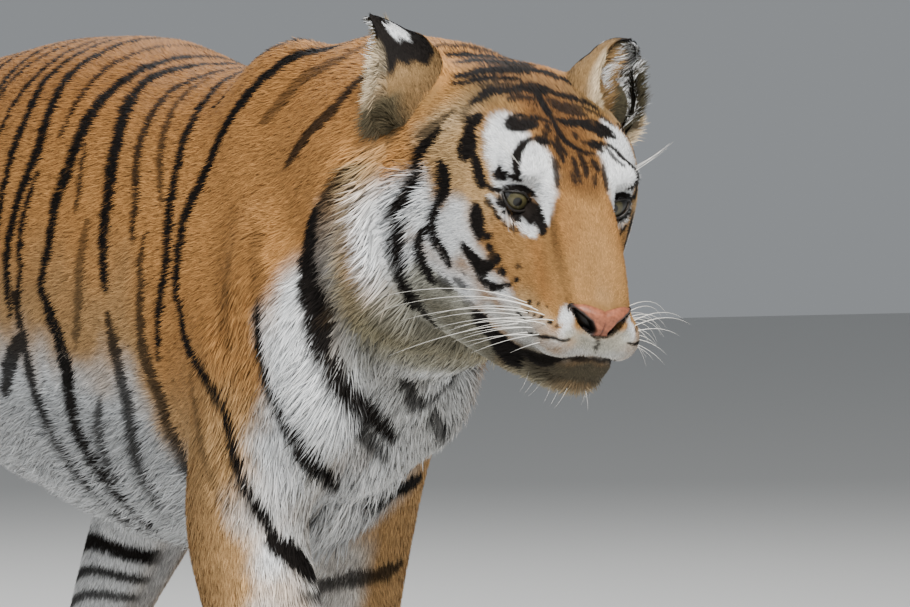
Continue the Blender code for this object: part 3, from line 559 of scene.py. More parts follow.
# Bands round the inside of the legs: leg chain, height, strength, radius.
LEG_BANDS = [
    ("foreleg_right", .360, .85, .0080), ("foreleg_left", .350, .85, .0080),
    ("hindleg_left", .225, .80, .0055), ("hindleg_left", .180, .60, .0045),
    ("hindleg_right", .395, .90, .0080), ("hindleg_right", .205, .60, .0050),
    ("foreleg_right", .300, .80, .0070), ("foreleg_right", .235, .60, .0055),
    ("foreleg_left", .290, .85, .0070), ("foreleg_left", .225, .60, .0055),
    ("hindleg_left", .352, 1.0, .0110), ("hindleg_left", .318, .95, .0065),
    ("hindleg_left", .290, .90, .0060), ("hindleg_left", .400, .90, .0070),
    ("hindleg_right", .340, .90, .0080), ("hindleg_right", .300, .85, .0060),
    ("hindleg_right", .255, .70, .0055),
]

TAIL_RINGS = [  # how far along the tail from its root in metres, half width
    (.05, .008), (.12, .009), (.20, .011), (.28, .012), (.36, .014), (.45, .015),
    (.54, .017), (.64, .019), (.74, .021), (.84, .024), (.94, .026),
]

# ------------------------------------------------------------------ markings of the head

# Washes on the head: colour, strength, soft edge, points (x, y, z, radius), both sides.
FACE_WASHES = [
    (DEEP_ORANGE, .75, 2.5, [(0, 20, 7, 5), (0, 8, 6.5, 4)]),
    (CROWN_BROWN, .75, 2.0, [(-6.5, 16, 6.5, 2.2), (-6.5, 12, 6.8, 2.2),
                             (-5.0, 9.5, 6.8, 1.6)]),
    (RUSSET, .85, 1.3, [(0, 10.0, 6.6, 3.2), (0, 5.0, 5.6, 3.0), (0, 1.5, 4.8, 3.1),
                        (0, -1.2, 3.6, 2.6)]),
    (TAN, 1.0, 2.0, [(-9, 6, 1, 3.2), (-10, 11, 3, 3.5), (-9, 2, -1, 2.0)]),
    (CREAM, .40, 1.6, [(-9.0, 9.5, 5.5, 1.0), (-11.5, 13.5, 1.5, 1.5)]),
    (GREY_BROWN, .45, 1.6, [(-7.4, 11.0, 6.4, 1.6), (-4.0, 13.0, 7.2, 1.8), (0, 15, 7.6, 1.8)]),
    (DEEP_ORANGE, .45, 1.6, [(-2.9, -3.1, 1.6, .9), (-3.0, -7.1, -1.4, 1.0)]),
    (TAN, .18, 2.2, [(0, -7, -2, 1.6), (0, -9.5, -4, 2.0), (0, -11.5, -5.2, 1.6)]),
    (CREAM, .10, 1.0, [(0, -9.0, -4.2, .6), (0, -11.6, -5.4, .7)]),
    (DEEP_ORANGE, .6, 1.2, [(-4.0, -3.4, -3.6, .8), (-4.2, -6, -5.5, 1.0),
                            (-4.2, -8.6, -6.6, .8)]),
    # white above the eye
    (WHITE, 1.0, .5, [(-5.9, 6.6, 6.2, 1.2), (-6.3, 5.0, 5.7, 1.9), (-6.5, 3.2, 4.7, 2.3),
                      (-6.5, 1.8, 3.2, 2.2), (-6.2, 1.0, 1.8, 2.0)]),
    (WHITE, 1.0, .5, [(-5.6, .9, 4.5, 1.3), (-5.7, -.6, 3.5, 1.2), (-5.2, -1.2, 2.2, 1.0)]),
    (WHITE, 1.0, .5, [(-4.4, 1.4, 4.9, 1.4), (-4.1, -.2, 3.6, 1.3), (-3.8, -1.6, 2.0, 1.1),
                      (-3.5, -2.6, .4, .8)]),
    (BROW_GREY, .8, .22, [(-4.3, 1.3, 4.6, .06), (-4.5, .2, 3.9, .12),
                          (-4.3, -1.0, 2.7, .06)]),
    # cheek, jaw and ruff
    (WHITE, 1.0, 1.0, [(-9.4, 4.6, -3.2, 1.5), (-9.8, 5.2, -6.5, 2.4),
                       (-11.2, 8.5, -5.5, 2.2), (-11.8, 11, -3.0, 1.8)]),
    (WHITE, .95, .8, [(-8.8, 3.4, -4.6, .9), (-8.3, 2.2, -6.6, 1.1), (-7.2, -.4, -8.4, 1.0),
                      (-6.4, -3.6, -9.2, .8)]),
    (WHITE, 1.0, 1.6, [(-12.8, 12.5, -6.5, 3.2), (-12.6, 12.5, -11, 3.4),
                       (-9.5, 8.0, -12.0, 3.4), (-7.6, 2.5, -11.0, 2.0)]),
    (WHITE, .85, 2.0, [(-13.5, 15, -8, 3.0), (-11, 13, -14, 3.0), (-5, 10, -18, 4.5)]),
    # painted shade under the jaw and down the throat, where the head shades the ruff
    (RUFF_OLIVE_IN_SHADE, .95, 2.2, [(-11.5, 17, -21.5, 3.5), (-8, 15, -22.5, 3.5),
                            (-3, 12, -23, 4.0), (0, 10, -23, 4.0)]),
    (RUFF_OLIVE_IN_SHADE, .85, 2.4, [(-13.5, 18.5, -18, 2.8), (-11.5, 15, -18.5, 2.8),
                            (-9, 12.5, -18.5, 2.8), (-5, 9, -19.5, 3.0)]),
    (SHADED_WHITE, .75, 2.0, [(-10, 13, -17, 3.0), (-6, 9, -18, 3.0), (0, 4, -18, 4.0)]),
    (GREY_BROWN, .60, 2.2, [(-10.5, 11.0, -14, 2.4), (-9.5, 12, -18, 3.4),
                            (-5, 10, -20, 3.4)]),
    # painted shade on the white lower jaw, under the muzzle
    (SHADED_WHITE, 1.0, .9, [(-10.8, 7.5, -12.4, 2.2), (-8.8, 4.2, -13.0, 2.2),
                           (-7.4, 1.5, -14.0, 1.9), (-6.2, -1.2, -15.5, 1.8)]),
    (SHADED_WHITE, 1.0, .9, [(-9.0, 9.0, -15.5, 2.6), (-7.6, 5.0, -16.0, 2.6),
                           (-5.5, 0, -18.0, 2.6)]),
    (GREY_BROWN, .70, 1.2, [(-9.4, 6.5, -14.6, 1.6), (-8.0, 3.0, -15.6, 2.2),
                            (-6.0, -.5, -16.0, 2.2), (-3.5, -2.0, -17.4, 2.6)]),
    # pads of the muzzle, lip and chin
    # the pads' white greyed towards the lips and chin: painted shade under the muzzle
    (SHADED_PAD_WHITE, .92, .8, [(-5.4, -4.2, -10.0, 1.3), (-5.2, -7.4, -10.2, 1.7),
                          (-4.6, -10.2, -9.9, 1.4), (-3.6, -12.2, -9.8, .9)]),
    (TAN, .75, .7, [(-5.8, -4.8, -7.8, .8), (-5.4, -7.2, -8.2, .8), (-4.8, -9.8, -8.3, .6),
                    (-4.4, -11.2, -8.4, .3)]),
    (SHADED_PAD_WHITE, 1.0, .8, [(-6.4, -1.0, -11.5, 1.1), (-5.2, -6.0, -12.2, 1.3),
                          (-4.4, -10.5, -11.4, 1.2), (-2.2, -12.6, -10.6, 1.2),
                          (0, -13, -10.2, 1.0)]),
    (WHITE, 1.0, .3, [(-3.65, -11.2, -6.7, .30), (-3.5, -11.7, -7.6, .60),
                      (-3.3, -12.2, -8.8, .9)]),
    # painted shade under the nose pad
    (SHADED_WHITE, .9, .5, [(-3.0, -12.6, -9.0, .8), (-1.6, -13, -9.3, .8),
                          (0, -13, -9.8, .9)]),
    (MOUTH_SHADE, .92, .9, [(-4.6, -4.6, -15.0, 1.7), (-3.2, -8.0, -14.2, 2.2),
                            (-1.8, -10.8, -13.2, 1.8), (0, -11.6, -13.0, 1.8)]),
    # painted shade on the throat under the chin
    (THROAT_OLIVE_IN_SHADE, 1.0, 1.3, [(-3.6, -5.0, -19.2, 3.6), (-1.8, -9.0, -19.2, 3.9),
                              (0, -10.0, -19.2, 4.1)]),
    # round the eye
    (WHITE, 1.0, .30, [(-4.2, -.8, 1.3, .8), (-3.9, -2.0, .4, .7), (-3.6, -2.9, -.6, .45)]),
    (WHITE, 1.0, .25, [(-7.9, 1.7, -.3, .25), (-6.9, .5, -1.4, .50), (-5.9, -.6, -1.8, .60),
                       (-4.9, -2.0, -2.0, .70), (-4.4, -2.8, -2.2, .50)]),
    # behind the ear, over the nape, and the hollow under the ear, dark hair and painted shade
    (ORANGE, .8, 2.5, [(-9, 22, 4, 4.0), (-13, 21, -3, 3.5)]),
    (ORANGE, .9, 1.5, [(-9.5, 18, 6, 3.0), (-11, 15.5, 4.5, 1.6)]),
    (EAR_FOOT_TAN, .75, 1.6, [(-12.5, 16.5, 3.6, 1.4), (-10.1, 15.4, 4.6, 1.4)]),
    (GREY_BROWN, .80, 1.2, [(-13.2, 18.6, 2.4, 2.2), (-13.0, 18.8, -1.0, 1.8)]),
    (EAR_HOLLOW_HAIR_AND_SHADE, .85, 1.1, [(-13.4, 19.6, 2.0, 1.3), (-12.4, 17.6, 1.0, 1.2),
                            (-13.2, 18.8, -1.2, .9)]),
    (RUFF_TAN, .9, 1.6, [(-15.0, 18.2, -3.5, 1.6), (-15.6, 18.4, -10, 2.0),
                         (-14.8, 18.0, -15.0, 2.4), (-13.8, 17.0, -19.0, 2.6)]),
]

# Dark skin, as washes: the inner corner of the eye, then the rim under it.
EYE_CORNER = [
    (LID_BLACK, 1.0, .18, [(-4.7, 1.0, -.5, 1.0), (-4.5, -.3, -.7, 1.0),
                           (-4.2, -1.6, -.8, .70), (-3.9, -2.8, -1.3, .36)]),
    (LID_BLACK, 1.0, .12, [(-7.3, .9, -.6, .28), (-6.5, .4, -1.15, .30),
                           (-5.8, .15, -1.45, .32), (-5.0, .0, -1.4, .38),
                           (-4.5, -.5, -1.2, .42)]),
]

# Strokes of the head's right side, which the left side mirrors: strength, radius, points.
FACE_STROKES = [
    (1.0, 1.30, [(-5.4, 5.2, 6.0), (-4.4, 5.7, 6.3), (-3.2, 6.2, 6.4)]),
    (1.0, .42, [(-3.2, 6.8, 6.4), (-1.9, 6.8, 6.3), (-.9, 6.4, 6.2)]),
    (1.0, .42, [(-3.8, 3.1, 5.5), (-4.9, 2.9, 5.2), (-5.8, 2.1, 4.7), (-6.4, 1.0, 4.2),
                (-6.7, .0, 3.5), (-6.4, -.3, 2.9)]),
    (1.0, .70, [(-3.4, 3.0, 5.4), (-2.6, 2.9, 5.4)]),
    (1.0, .70, [(-7.8, 1.9, 2.0), (-7.3, 1.3, 2.2)]),
    (1.0, .42, [(-7.2, .9, 2.7), (-6.6, .1, 2.6), (-6.0, -.4, 2.2)]),
    (.90, .28, [(-2.8, .1, 4.3), (-2.7, -1.1, 3.5), (-2.8, -2.3, 2.8)]),
    (1.0, .90, [(-8.0, 8.2, 5.4), (-8.7, 7.7, 4.7)]),
    (1.0, .66, [(-8.7, 7.8, 4.8), (-9.1, 6.8, 4.0)]),
    (1.0, 1.20, [(-9.3, 6.5, 3.4), (-9.5, 5.9, 2.6)]),
    (1.0, .60, [(-9.0, 4.7, 2.6), (-8.8, 3.6, 1.3), (-8.5, 2.7, .3)]),
    (.75, .55, [(-9.3, 11.1, 4.9), (-10.6, 12.5, 2.6), (-12.0, 14.0, 1.0)]),
    (1.0, .85, [(-10.4, 11.2, 2.6), (-11.0, 12.0, .8), (-11.6, 12.4, -.7),
                (-11.8, 11.0, -2.5)]),
    (1.0, .90, [(-11.8, 11.0, -2.3), (-12.4, 11.8, -4.4), (-13.4, 12.3, -6.4),
                (-13.5, 12.0, -7.6)]),
    (1.0, .95, [(-10.8, 8.6, .2), (-10.5, 7.2, -1.0), (-10.5, 6.7, -1.9),
                (-10.7, 6.9, -3.2)]),
    (1.0, .62, [(-10.7, 6.8, -2.8), (-10.9, 7.1, -4.5), (-10.8, 7.0, -6.3),
                (-10.4, 6.1, -7.4), (-9.8, 5.0, -8.1), (-9.3, 4.2, -9.1)]),
    (1.0, .72, [(-11.3, 8.1, -6.8), (-11.2, 8.3, -8.8), (-10.5, 7.4, -10.5),
                (-9.6, 6.0, -11.6)]),
    (1.0, 1.10, [(-12.9, 11.2, -7.6), (-12.8, 10.8, -10.5), (-12.4, 10.6, -12.2)]),
    (1.0, 1.00, [(-12.4, 10.6, -11.8), (-11.4, 10.0, -14.0), (-10.0, 9.6, -16.1)]),
    (.95, .90, [(-11.3, 9.6, -13.4), (-9.2, 8.8, -16.0), (-6.7, 8.2, -17.8)]),
    (1.0, .80, [(-8.8, 2.6, -1.9), (-8.5, 2.0, -3.4), (-8.2, 1.5, -4.6)]),
    (1.0, .40, [(-7.9, 1.0, -4.4), (-7.4, .5, -4.1)]),
    (1.0, .66, [(-8.9, 3.0, -6.3), (-8.3, 2.0, -7.0), (-7.8, 1.1, -7.4), (-7.4, .1, -7.3),
                (-7.0, -.7, -6.6)]),
    (1.0, .85, [(-8.0, 1.3, -7.6), (-7.3, .1, -7.8)]),
    (.90, .40, [(-7.2, -.2, -6.4), (-7.0, -.3, -5.7)]),
    (1.0, .36, [(-7.6, .4, -5.2), (-7.1, .0, -5.3)]),
    (1.0, .40, [(-6.9, -.8, -5.7), (-6.7, -1.2, -6.4)]),
    (1.0, .42, [(-6.6, -1.6, -7.0), (-6.3, -2.1, -7.1)]),
    (.80, .26, [(-5.8, -3.0, -5.9), (-5.5, -3.3, -5.8)]),
    (1.0, .28, [(-5.8, -3.3, -7.2), (-5.4, -3.7, -7.0)]),
    (1.0, .28, [(-6.1, -2.9, -8.0), (-5.9, -3.2, -7.8)]),
    (1.0, .42, [(-7.6, .8, -8.9), (-7.0, -.7, -9.0), (-6.6, -2.1, -8.6), (-6.3, -2.5, -8.1)]),
    (.80, .24, [(-8.5, 2.6, -9.2), (-8.3, 2.3, -9.2)]),
    (.90, .40, [(-8.4, 1.7, -.9), (-8.0, 1.1, -1.1)]),
    # dark corners behind the mouth
    (.80, .65, [(-9.6, 5.2, -11.2), (-8.9, 3.8, -11.5)]),
    (.80, .40, [(-8.8, 3.4, -10.2), (-8.2, 2.0, -10.6)]),
    (.55, .55, [(-7.6, 2.4, -11.8), (-6.9, .8, -12.6)]),
    # rows of whisker roots
    (1.0, .30, [(-5.4, -6.7, -8.1), (-5.2, -7.1, -8.0)]),
    (.90, .18, [(-5.1, -8.2, -7.6), (-5.0, -8.4, -7.6)]),
    (.70, .15, [(-4.6, -9.4, -7.4), (-4.6, -9.6, -7.4)]),
    (.90, .20, [(-5.5, -7.3, -8.9), (-5.4, -7.5, -8.9)]),
    (.90, .20, [(-5.3, -8.7, -8.7), (-5.3, -8.9, -8.7)]),
    (1.0, .24, [(-5.1, -9.8, -8.6), (-5.0, -10.1, -8.5)]),
    (1.0, .21, [(-4.7, -11.0, -8.5), (-4.7, -11.2, -8.4)]),
    (.90, .19, [(-4.4, -11.8, -8.5), (-4.3, -11.9, -8.4)]),
    (.85, .22, [(-5.9, -5.2, -9.6), (-5.7, -6.4, -9.8), (-5.5, -7.6, -9.8)]),
    (1.0, .17, [(-5.4, -8.3, -10.6), (-5.3, -10.7, -10.0), (-4.8, -12.0, -9.6),
                (-3.9, -12.7, -9.5), (-3.2, -13.0, -9.3)]),
    # lips, and the black corner of the mouth
    (1.0, 1.00, [(-6.6, .8, -13.0), (-5.9, -1.0, -13.6)]),
    (1.0, 1.35, [(-5.6, -1.6, -14.2), (-5.0, -3.8, -14.9), (-4.4, -5.6, -14.9)]),
    (.95, .55, [(-4.5, -6.0, -13.9), (-4.0, -8.6, -13.4), (-3.4, -10.8, -12.4),
                (-2.4, -12.2, -11.7)]),
    (.90, .28, [(-2.6, -12.1, -11.7), (.0, -12.6, -11.4)]),
    (.95, .22, [(.0, -13.1, -8.9), (.0, -13.1, -10.4)]),
    # rims of the eye and the tear mark
    (1.0, .36, [(-8.3, 2.3, .5), (-7.4, 1.1, .5), (-6.4, .4, 1.2), (-5.3, -.1, 1.3),
                (-4.6, -1.1, .7), (-4.1, -2.1, -.1), (-3.8, -3.0, -1.0)]),
    (1.0, .36, [(-7.4, .8, -.3), (-6.6, -.1, -1.1), (-5.6, -.8, -1.3), (-4.7, -1.8, -1.4),
                (-3.9, -3.0, -1.5)]),
    (1.0, .50, [(-4.9, -.9, -.6), (-4.4, -2.0, -.8), (-3.9, -2.9, -1.3), (-3.7, -3.3, -2.1)]),
    (1.0, .17, [(-8.0, 1.7, -.9), (-7.2, .5, -1.9), (-6.4, -.6, -2.4), (-5.7, -1.5, -2.6)]),
]

# Strokes of the crown and brow that are each their own: strength, radius, points.
CROWN_STROKES = [
    (1.0, 1.15, [(-1.2, 12.9, 7.3), (.1, 12.9, 7.3), (1.2, 12.7, 7.3)]),
    (1.0, .48, [(.1, 12.8, 7.3), (-.2, 11.2, 7.0), (-.3, 8.9, 6.6), (-.3, 6.7, 6.2)]),
    (1.0, .40, [(-.3, 6.9, 6.2), (-.4, 4.4, 5.8), (.2, 2.8, 5.3), (1.1, 1.8, 5.1),
                (2.2, 1.6, 5.0)]),
    (1.0, .74, [(-.9, 12.8, 7.3), (-3.6, 11.9, 7.2), (-5.3, 11.9, 7.0),
                (-6.8, 11.0, 6.6), (-7.7, 10.6, 6.1)]),
    (.60, .50, [(-7.5, 10.8, 6.2), (-8.5, 9.9, 5.4), (-9.0, 9.0, 4.9)]),
    (1.0, .60, [(-1.1, 14.6, 7.5), (-2.8, 14.6, 7.5), (-4.7, 14.5, 7.3), (-6.7, 14.6, 6.9),
                (-7.8, 15.2, 6.4)]),
    (1.0, .95, [(3.4, 17.0, 7.6), (.7, 17.1, 7.8), (-1.8, 16.6, 7.9), (-3.8, 16.4, 7.6),
                (-5.7, 16.1, 7.4), (-7, 16.3, 6.8)]),
    (1.0, .95, [(-5.8, 19.8, 7.3), (-3.5, 19.9, 7.5), (-.6, 19.4, 7.8), (2.5, 19.6, 7.7)]),
    (1.0, .90, [(-5.2, 22.8, 6.6), (-2.0, 22.6, 7.1), (1.5, 22.6, 7.1), (4.5, 23, 6.7)]),
    (.90, .60, [(-6.2, 25.2, 6.3), (-3.0, 24.8, 6.8), (1.5, 24.8, 6.8), (5.0, 25.3, 6.3)]),
    (.80, .50, [(-4.8, 27.2, 6.2), (-1.5, 26.8, 6.7), (2.5, 27.0, 6.6)]),
    (.90, .50, [(-4.1, 9.9, 7.0), (-2.4, 10.8, 7.0), (-.9, 10.7, 6.9)]),
    (.90, .40, [(-4.6, 18.2, 7.5), (-1.5, 18.2, 7.8), (2.2, 18.3, 7.7)]),
    (.85, .36, [(-6.0, 13.2, 6.9), (-3.9, 13.2, 7.2), (-2.0, 13.5, 7.4)]),
    (.80, .45, [(-4.6, 21.3, 7.0), (-1.5, 21.1, 7.4), (2.2, 21.2, 7.3)]),
    (1.0, .60, [(1.0, 12.9, 7.3), (3.2, 11.5, 7.2), (4.7, 10.9, 7.0), (6.0, 10.0, 6.7)]),
    (.90, .85, [(1.0, 10.5, 7.0), (1.7, 9.2, 6.7), (2.6, 8.6, 6.7), (3.5, 8.1, 6.6)]),
    (.85, .45, [(2.2, 10.2, 7.0), (3.6, 9.4, 6.9), (4.8, 8.8, 6.7)]),
    (1.0, .46, [(.2, 7.3, 6.3), (1.3, 6.3, 6.2), (2.4, 6.2, 6.3)]),
    (1.0, .55, [(2.4, 6.4, 6.3), (3.3, 5.6, 6.2), (4.2, 4.4, 5.9)]),
    (1.0, .62, [(2.8, 16.2, 7.7), (4.8, 15.2, 7.5), (6.0, 13.8, 7.2), (7.4, 12.6, 6.6)]),
    (.85, .40, [(4.2, 9.8, 6.9), (5.6, 8.6, 6.6), (6.6, 7.2, 6.1)]),
    (.90, .36, [(1.8, 3.3, 5.5), (2.8, 2.7, 5.4), (3.4, 1.9, 5.0)]),
    (.90, .32, [(4.1, 2.4, 5.2), (4.6, 1.4, 4.8), (5.2, .4, 4.2)]),
    (.90, .30, [(-2.2, 4.6, 5.8), (-2.4, 3.6, 5.6)]),
    (.90, .30, [(-1.5, 5.8, 6.0), (-1.7, 4.6, 5.8)]),
    (.90, .30, [(1.3, 4.8, 5.8), (1.2, 3.8, 5.6)]),
    (.85, .28, [(-2.6, .6, 4.6), (-2.2, -.6, 3.9)]),
    (.85, .28, [(-1.0, -1.0, 3.9), (-.9, -2.2, 3.2)]),
    (.85, .28, [(1.5, -1.2, 3.8), (1.4, -2.2, 3.2)]),
    (.95, .34, [(-1.0, 3.9, 5.6), (-1.2, 2.6, 5.3), (-.9, 1.0, 4.8)]),
    (.95, .34, [(-1.9, 3.0, 5.4), (-1.7, 1.6, 5.0), (-1.6, .2, 4.4)]),
    (.95, .34, [(.6, 1.4, 4.9), (.8, -.2, 4.3), (.6, -1.4, 3.8)]),
    (.95, .34, [(1.9, .8, 4.6), (2.1, -.6, 3.9)]),
    (.95, .34, [(-.3, .8, 4.7), (-.4, -.8, 4.0), (-.2, -2.0, 3.4)]),
]


def laid_on(tree, strokes, widen, place=np.asarray, back=np.asarray):
    """Strokes as smooth close chains of points that lie on the skin, widened."""
    made = []
    for strength, radius, path in strokes:
        smooth = curve_through(path, 4)
        skin_path = [tree.find_nearest(Vector(p))[0] for p in place(smooth)]
        made.append((strength, radius * widen, back(np.array(skin_path))))
    return made


def stroke_cover(points, normals, strokes, soft, reach):
    """How far strokes cover points, 0 to 1: a stroke is the chain of capsules through its
    points, narrower towards its ends, with an edge as wide as soft. Distance along the
    surface counts in full and off it, up to reach, by a quarter."""
    cover = np.zeros(len(points))
    for strength, radius, path in strokes:
        low, high = path.min(0) - radius - reach, path.max(0) + radius + reach
        near = np.flatnonzero(((points > low) & (points < high)).all(1))
        if not len(near):
            continue
        q, out = points[near], normals[near]
        spans = np.linalg.norm(np.diff(path, axis=0), axis=1)
        starts = np.concatenate([[0], np.cumsum(spans)])
        gap = np.full(len(near), 1e9)
        for a, b, start, span in zip(path, path[1:], starts, spans):
            t = np.clip((q - a) @ (b - a) / max(span * span, 1e-12), 0, 1)
            along = (start + t * span) / max(starts[-1], 1e-9)
            full = radius * (.45 + .55 * np.sin(math.pi * np.clip(along, .02, .98)) ** .5)
            off = q - a - t[:, None] * (b - a)
            rise = np.abs((off * out).sum(1))
            far = np.sqrt(np.maximum((off ** 2).sum(1) - .94 * rise ** 2, 0))
            gap = np.minimum(gap, np.where(rise < reach, far - full, 1e9))
        cover[near] = np.maximum(cover[near], strength * (1 - ease(gap, -soft, soft)))
    return cover


def wash_cover(points, path, soft):
    """How far a wash covers points: the chain of balls (x, y, z, radius), soft-edged."""
    path = np.asarray(path, float)
    gap = np.full(len(points), 1e9)
    for a, b in zip(path, path[1:]):
        way = (b - a)[:3]
        t = np.clip((points - a[:3]) @ way / (way @ way), 0, 1)
        radius = a[3] + t * (b[3] - a[3])
        gap = np.minimum(gap, np.linalg.norm(points - a[:3] - t[:, None] * way, axis=1)
                         - radius)
    return 1 - ease(gap, -soft, soft)


def blend(colour, over, share):
    return colour + (np.asarray(over) - colour) * np.clip(share, 0, 1)[:, None]


def head_colours(points, normals):
    """Colours on the head: washes mirrored on both sides, then the black strokes."""
    q = to_head(points)
    out = normals @ HEAD_TURN
    q = q + .09 * np.stack([ripple(q, 1.6), ripple(q, 1.4, 2), ripple(q, 1.8, 4)], -1)
    spread = q + .26 * np.stack([ripple(q, 3.6, 1), ripple(q, 3.1, 5), ripple(q, 4, 3)], -1)
    spread = spread + rng.normal(0, 1, (len(q), 1)) * (.06 + .08 * ease(q[:, 1:2], 3, 9))
    side = folded(spread, q)
    colour = np.tile(np.asarray(FACE_ORANGE), (len(q), 1))
    colour = blend(colour, ORANGE, ease(q[:, 1], 8, 16))
    colour = colour * (1 + .16 * ripple(q, 2.2, 2) * ease(-q[:, 1], -6, 0))[:, None]
    for wash, strength, soft, path in FACE_WASHES:
        colour = blend(colour, wash, strength * wash_cover(side, path, soft))
    mirror = folded(q, q)
    for wash, strength, soft, path in EYE_CORNER:
        colour = blend(colour, wash, strength * wash_cover(mirror, path, soft))
    # painted shade on the head's fur inside the cup of the far ear
    cup = [(*ear_place("left", np.array((0, -3.2, 1.6))), 2.4),
           (*ear_place("left", np.array((0, -2.6, 4.6))), 2.2)]
    colour = blend(colour, np.asarray(GREY_BROWN) * .7, wash_cover(spread, cup, .6))
    return blend(colour, BLACK, stroke_cover(q, out, marks["head"], .10, 1.2))


# ------------------------------------------------------------------ lie of the coat

# Middle lines of the body: points (x, y, z, radius), from which hair lies and unwraps.
CHAINS = {
    "head": [(*from_head(p), r) for p, r in (((0, -12, -8), .05), ((0, -4, -7), .08),
                                             ((0, 6, -6), .11), ((0, 16, -5), .13))],
    "neck": [(0, -.83, .765, .13), (0, -.70, .750, .15), (0, -.60, .745, .16)],
    "trunk": [(0, -.66, .640, .12), (0, -.45, .665, .22), (0, -.10, .670, .26),
              (0, .15, .690, .24), (0, .35, .720, .18), (0, .47, .735, .10)],
    "foreleg_right": [(-.107, -.62, .62, .10), (-.112, -.545, .44, .08),
                      (-.104, -.56, .33, .06), (-.095, -.60, .15, .05),
                      (-.091, -.62, .06, .05), (-.091, -.70, .03, .05)],
    "foreleg_left": [(.104, -.51, .62, .10), (.114, -.395, .455, .08),
                     (.101, -.376, .33, .06), (.091, -.394, .15, .05),
                     (.087, -.42, .06, .05), (.087, -.50, .03, .05)],
    "hindleg_right": [(-.105, .30, .68, .14), (-.125, .26, .50, .10),
                      (-.110, .38, .36, .06), (-.103, .475, .27, .05),
                      (-.098, .465, .10, .05), (-.095, .37, .03, .05)],
    "hindleg_left": [(.105, .22, .68, .14), (.122, .09, .50, .10), (.112, .13, .36, .06),
                     (.101, .21, .23, .05), (.095, .15, .08, .05), (.093, .04, .03, .05)],
    "tail": [(0, .50, .77, .06), (0, .58, .685, .045), (0, .64, .56, .04),
             (0, .69, .43, .038), (0, .755, .305, .037), (0, .855, .22, .036),
             (0, .965, .205, .035), (0, 1.055, .25, .033), (0, 1.095, .32, .02)],
}
CHAINS = {name: np.array(rows, float) for name, rows in CHAINS.items()}
REGIONS = list(CHAINS)
LEGS = REGIONS[3:7]
DROOP = {"head": .35, "neck": .55, "trunk": .38, "tail": .0}    # how much hair also hangs


def within(region, *names):
    """True where a region index is that of one of the named middle lines."""
    return np.isin(region, [REGIONS.index(name) for name in names])


def lie_of(points):
    """(region index, way) for points: the nearest middle line, weighed by its radius, and
    the blended direction of the lines and of hanging, not yet laid on the surface."""
    best = np.full(len(points), 1e9)
    region = np.zeros(len(points), int)
    way = np.zeros((len(points), 3))
    for index, (name, rows) in enumerate(CHAINS.items()):
        for a, b in zip(rows, rows[1:]):
            line = (b - a)[:3]
            t = np.clip((points - a[:3]) @ line / (line @ line), 0, 1)
            far = np.linalg.norm(points - a[:3] - t[:, None] * line, axis=1)
            far = far / (a[3] + t * (b[3] - a[3]))
            closer = far < best
            best[closer], region[closer] = far[closer], index
            pull = unit(line) + (0, 0, -DROOP.get(name, .25))
            way += pull * (far ** -6)[:, None]
    return region, unit(way)


def along_chain(points, name):
    """(metres along the middle line, turns about it) of points, for rings and unwraps."""
    rows = CHAINS[name]
    best = np.full(len(points), 1e9)
    along, about = np.zeros(len(points)), np.zeros(len(points))
    done = 0.0
    for a, b in zip(rows, rows[1:]):
        line = (b - a)[:3]
        span = np.linalg.norm(line)
        raw = (points - a[:3]) @ line / span ** 2
        t = np.clip(raw, 0, 1)
        off = points - a[:3] - t[:, None] * line
        far = np.linalg.norm(off, axis=1)
        closer = far < best
        up = unit(np.cross((1, 0, 0), line))
        best[closer] = far[closer]
        along[closer] = (done + np.clip(raw, -.5, 1.5) * span)[closer]
        about[closer] = (np.arctan2(off @ up, off[:, 0]) / (2 * math.pi))[closer]
        done += span
    return along, about % 1


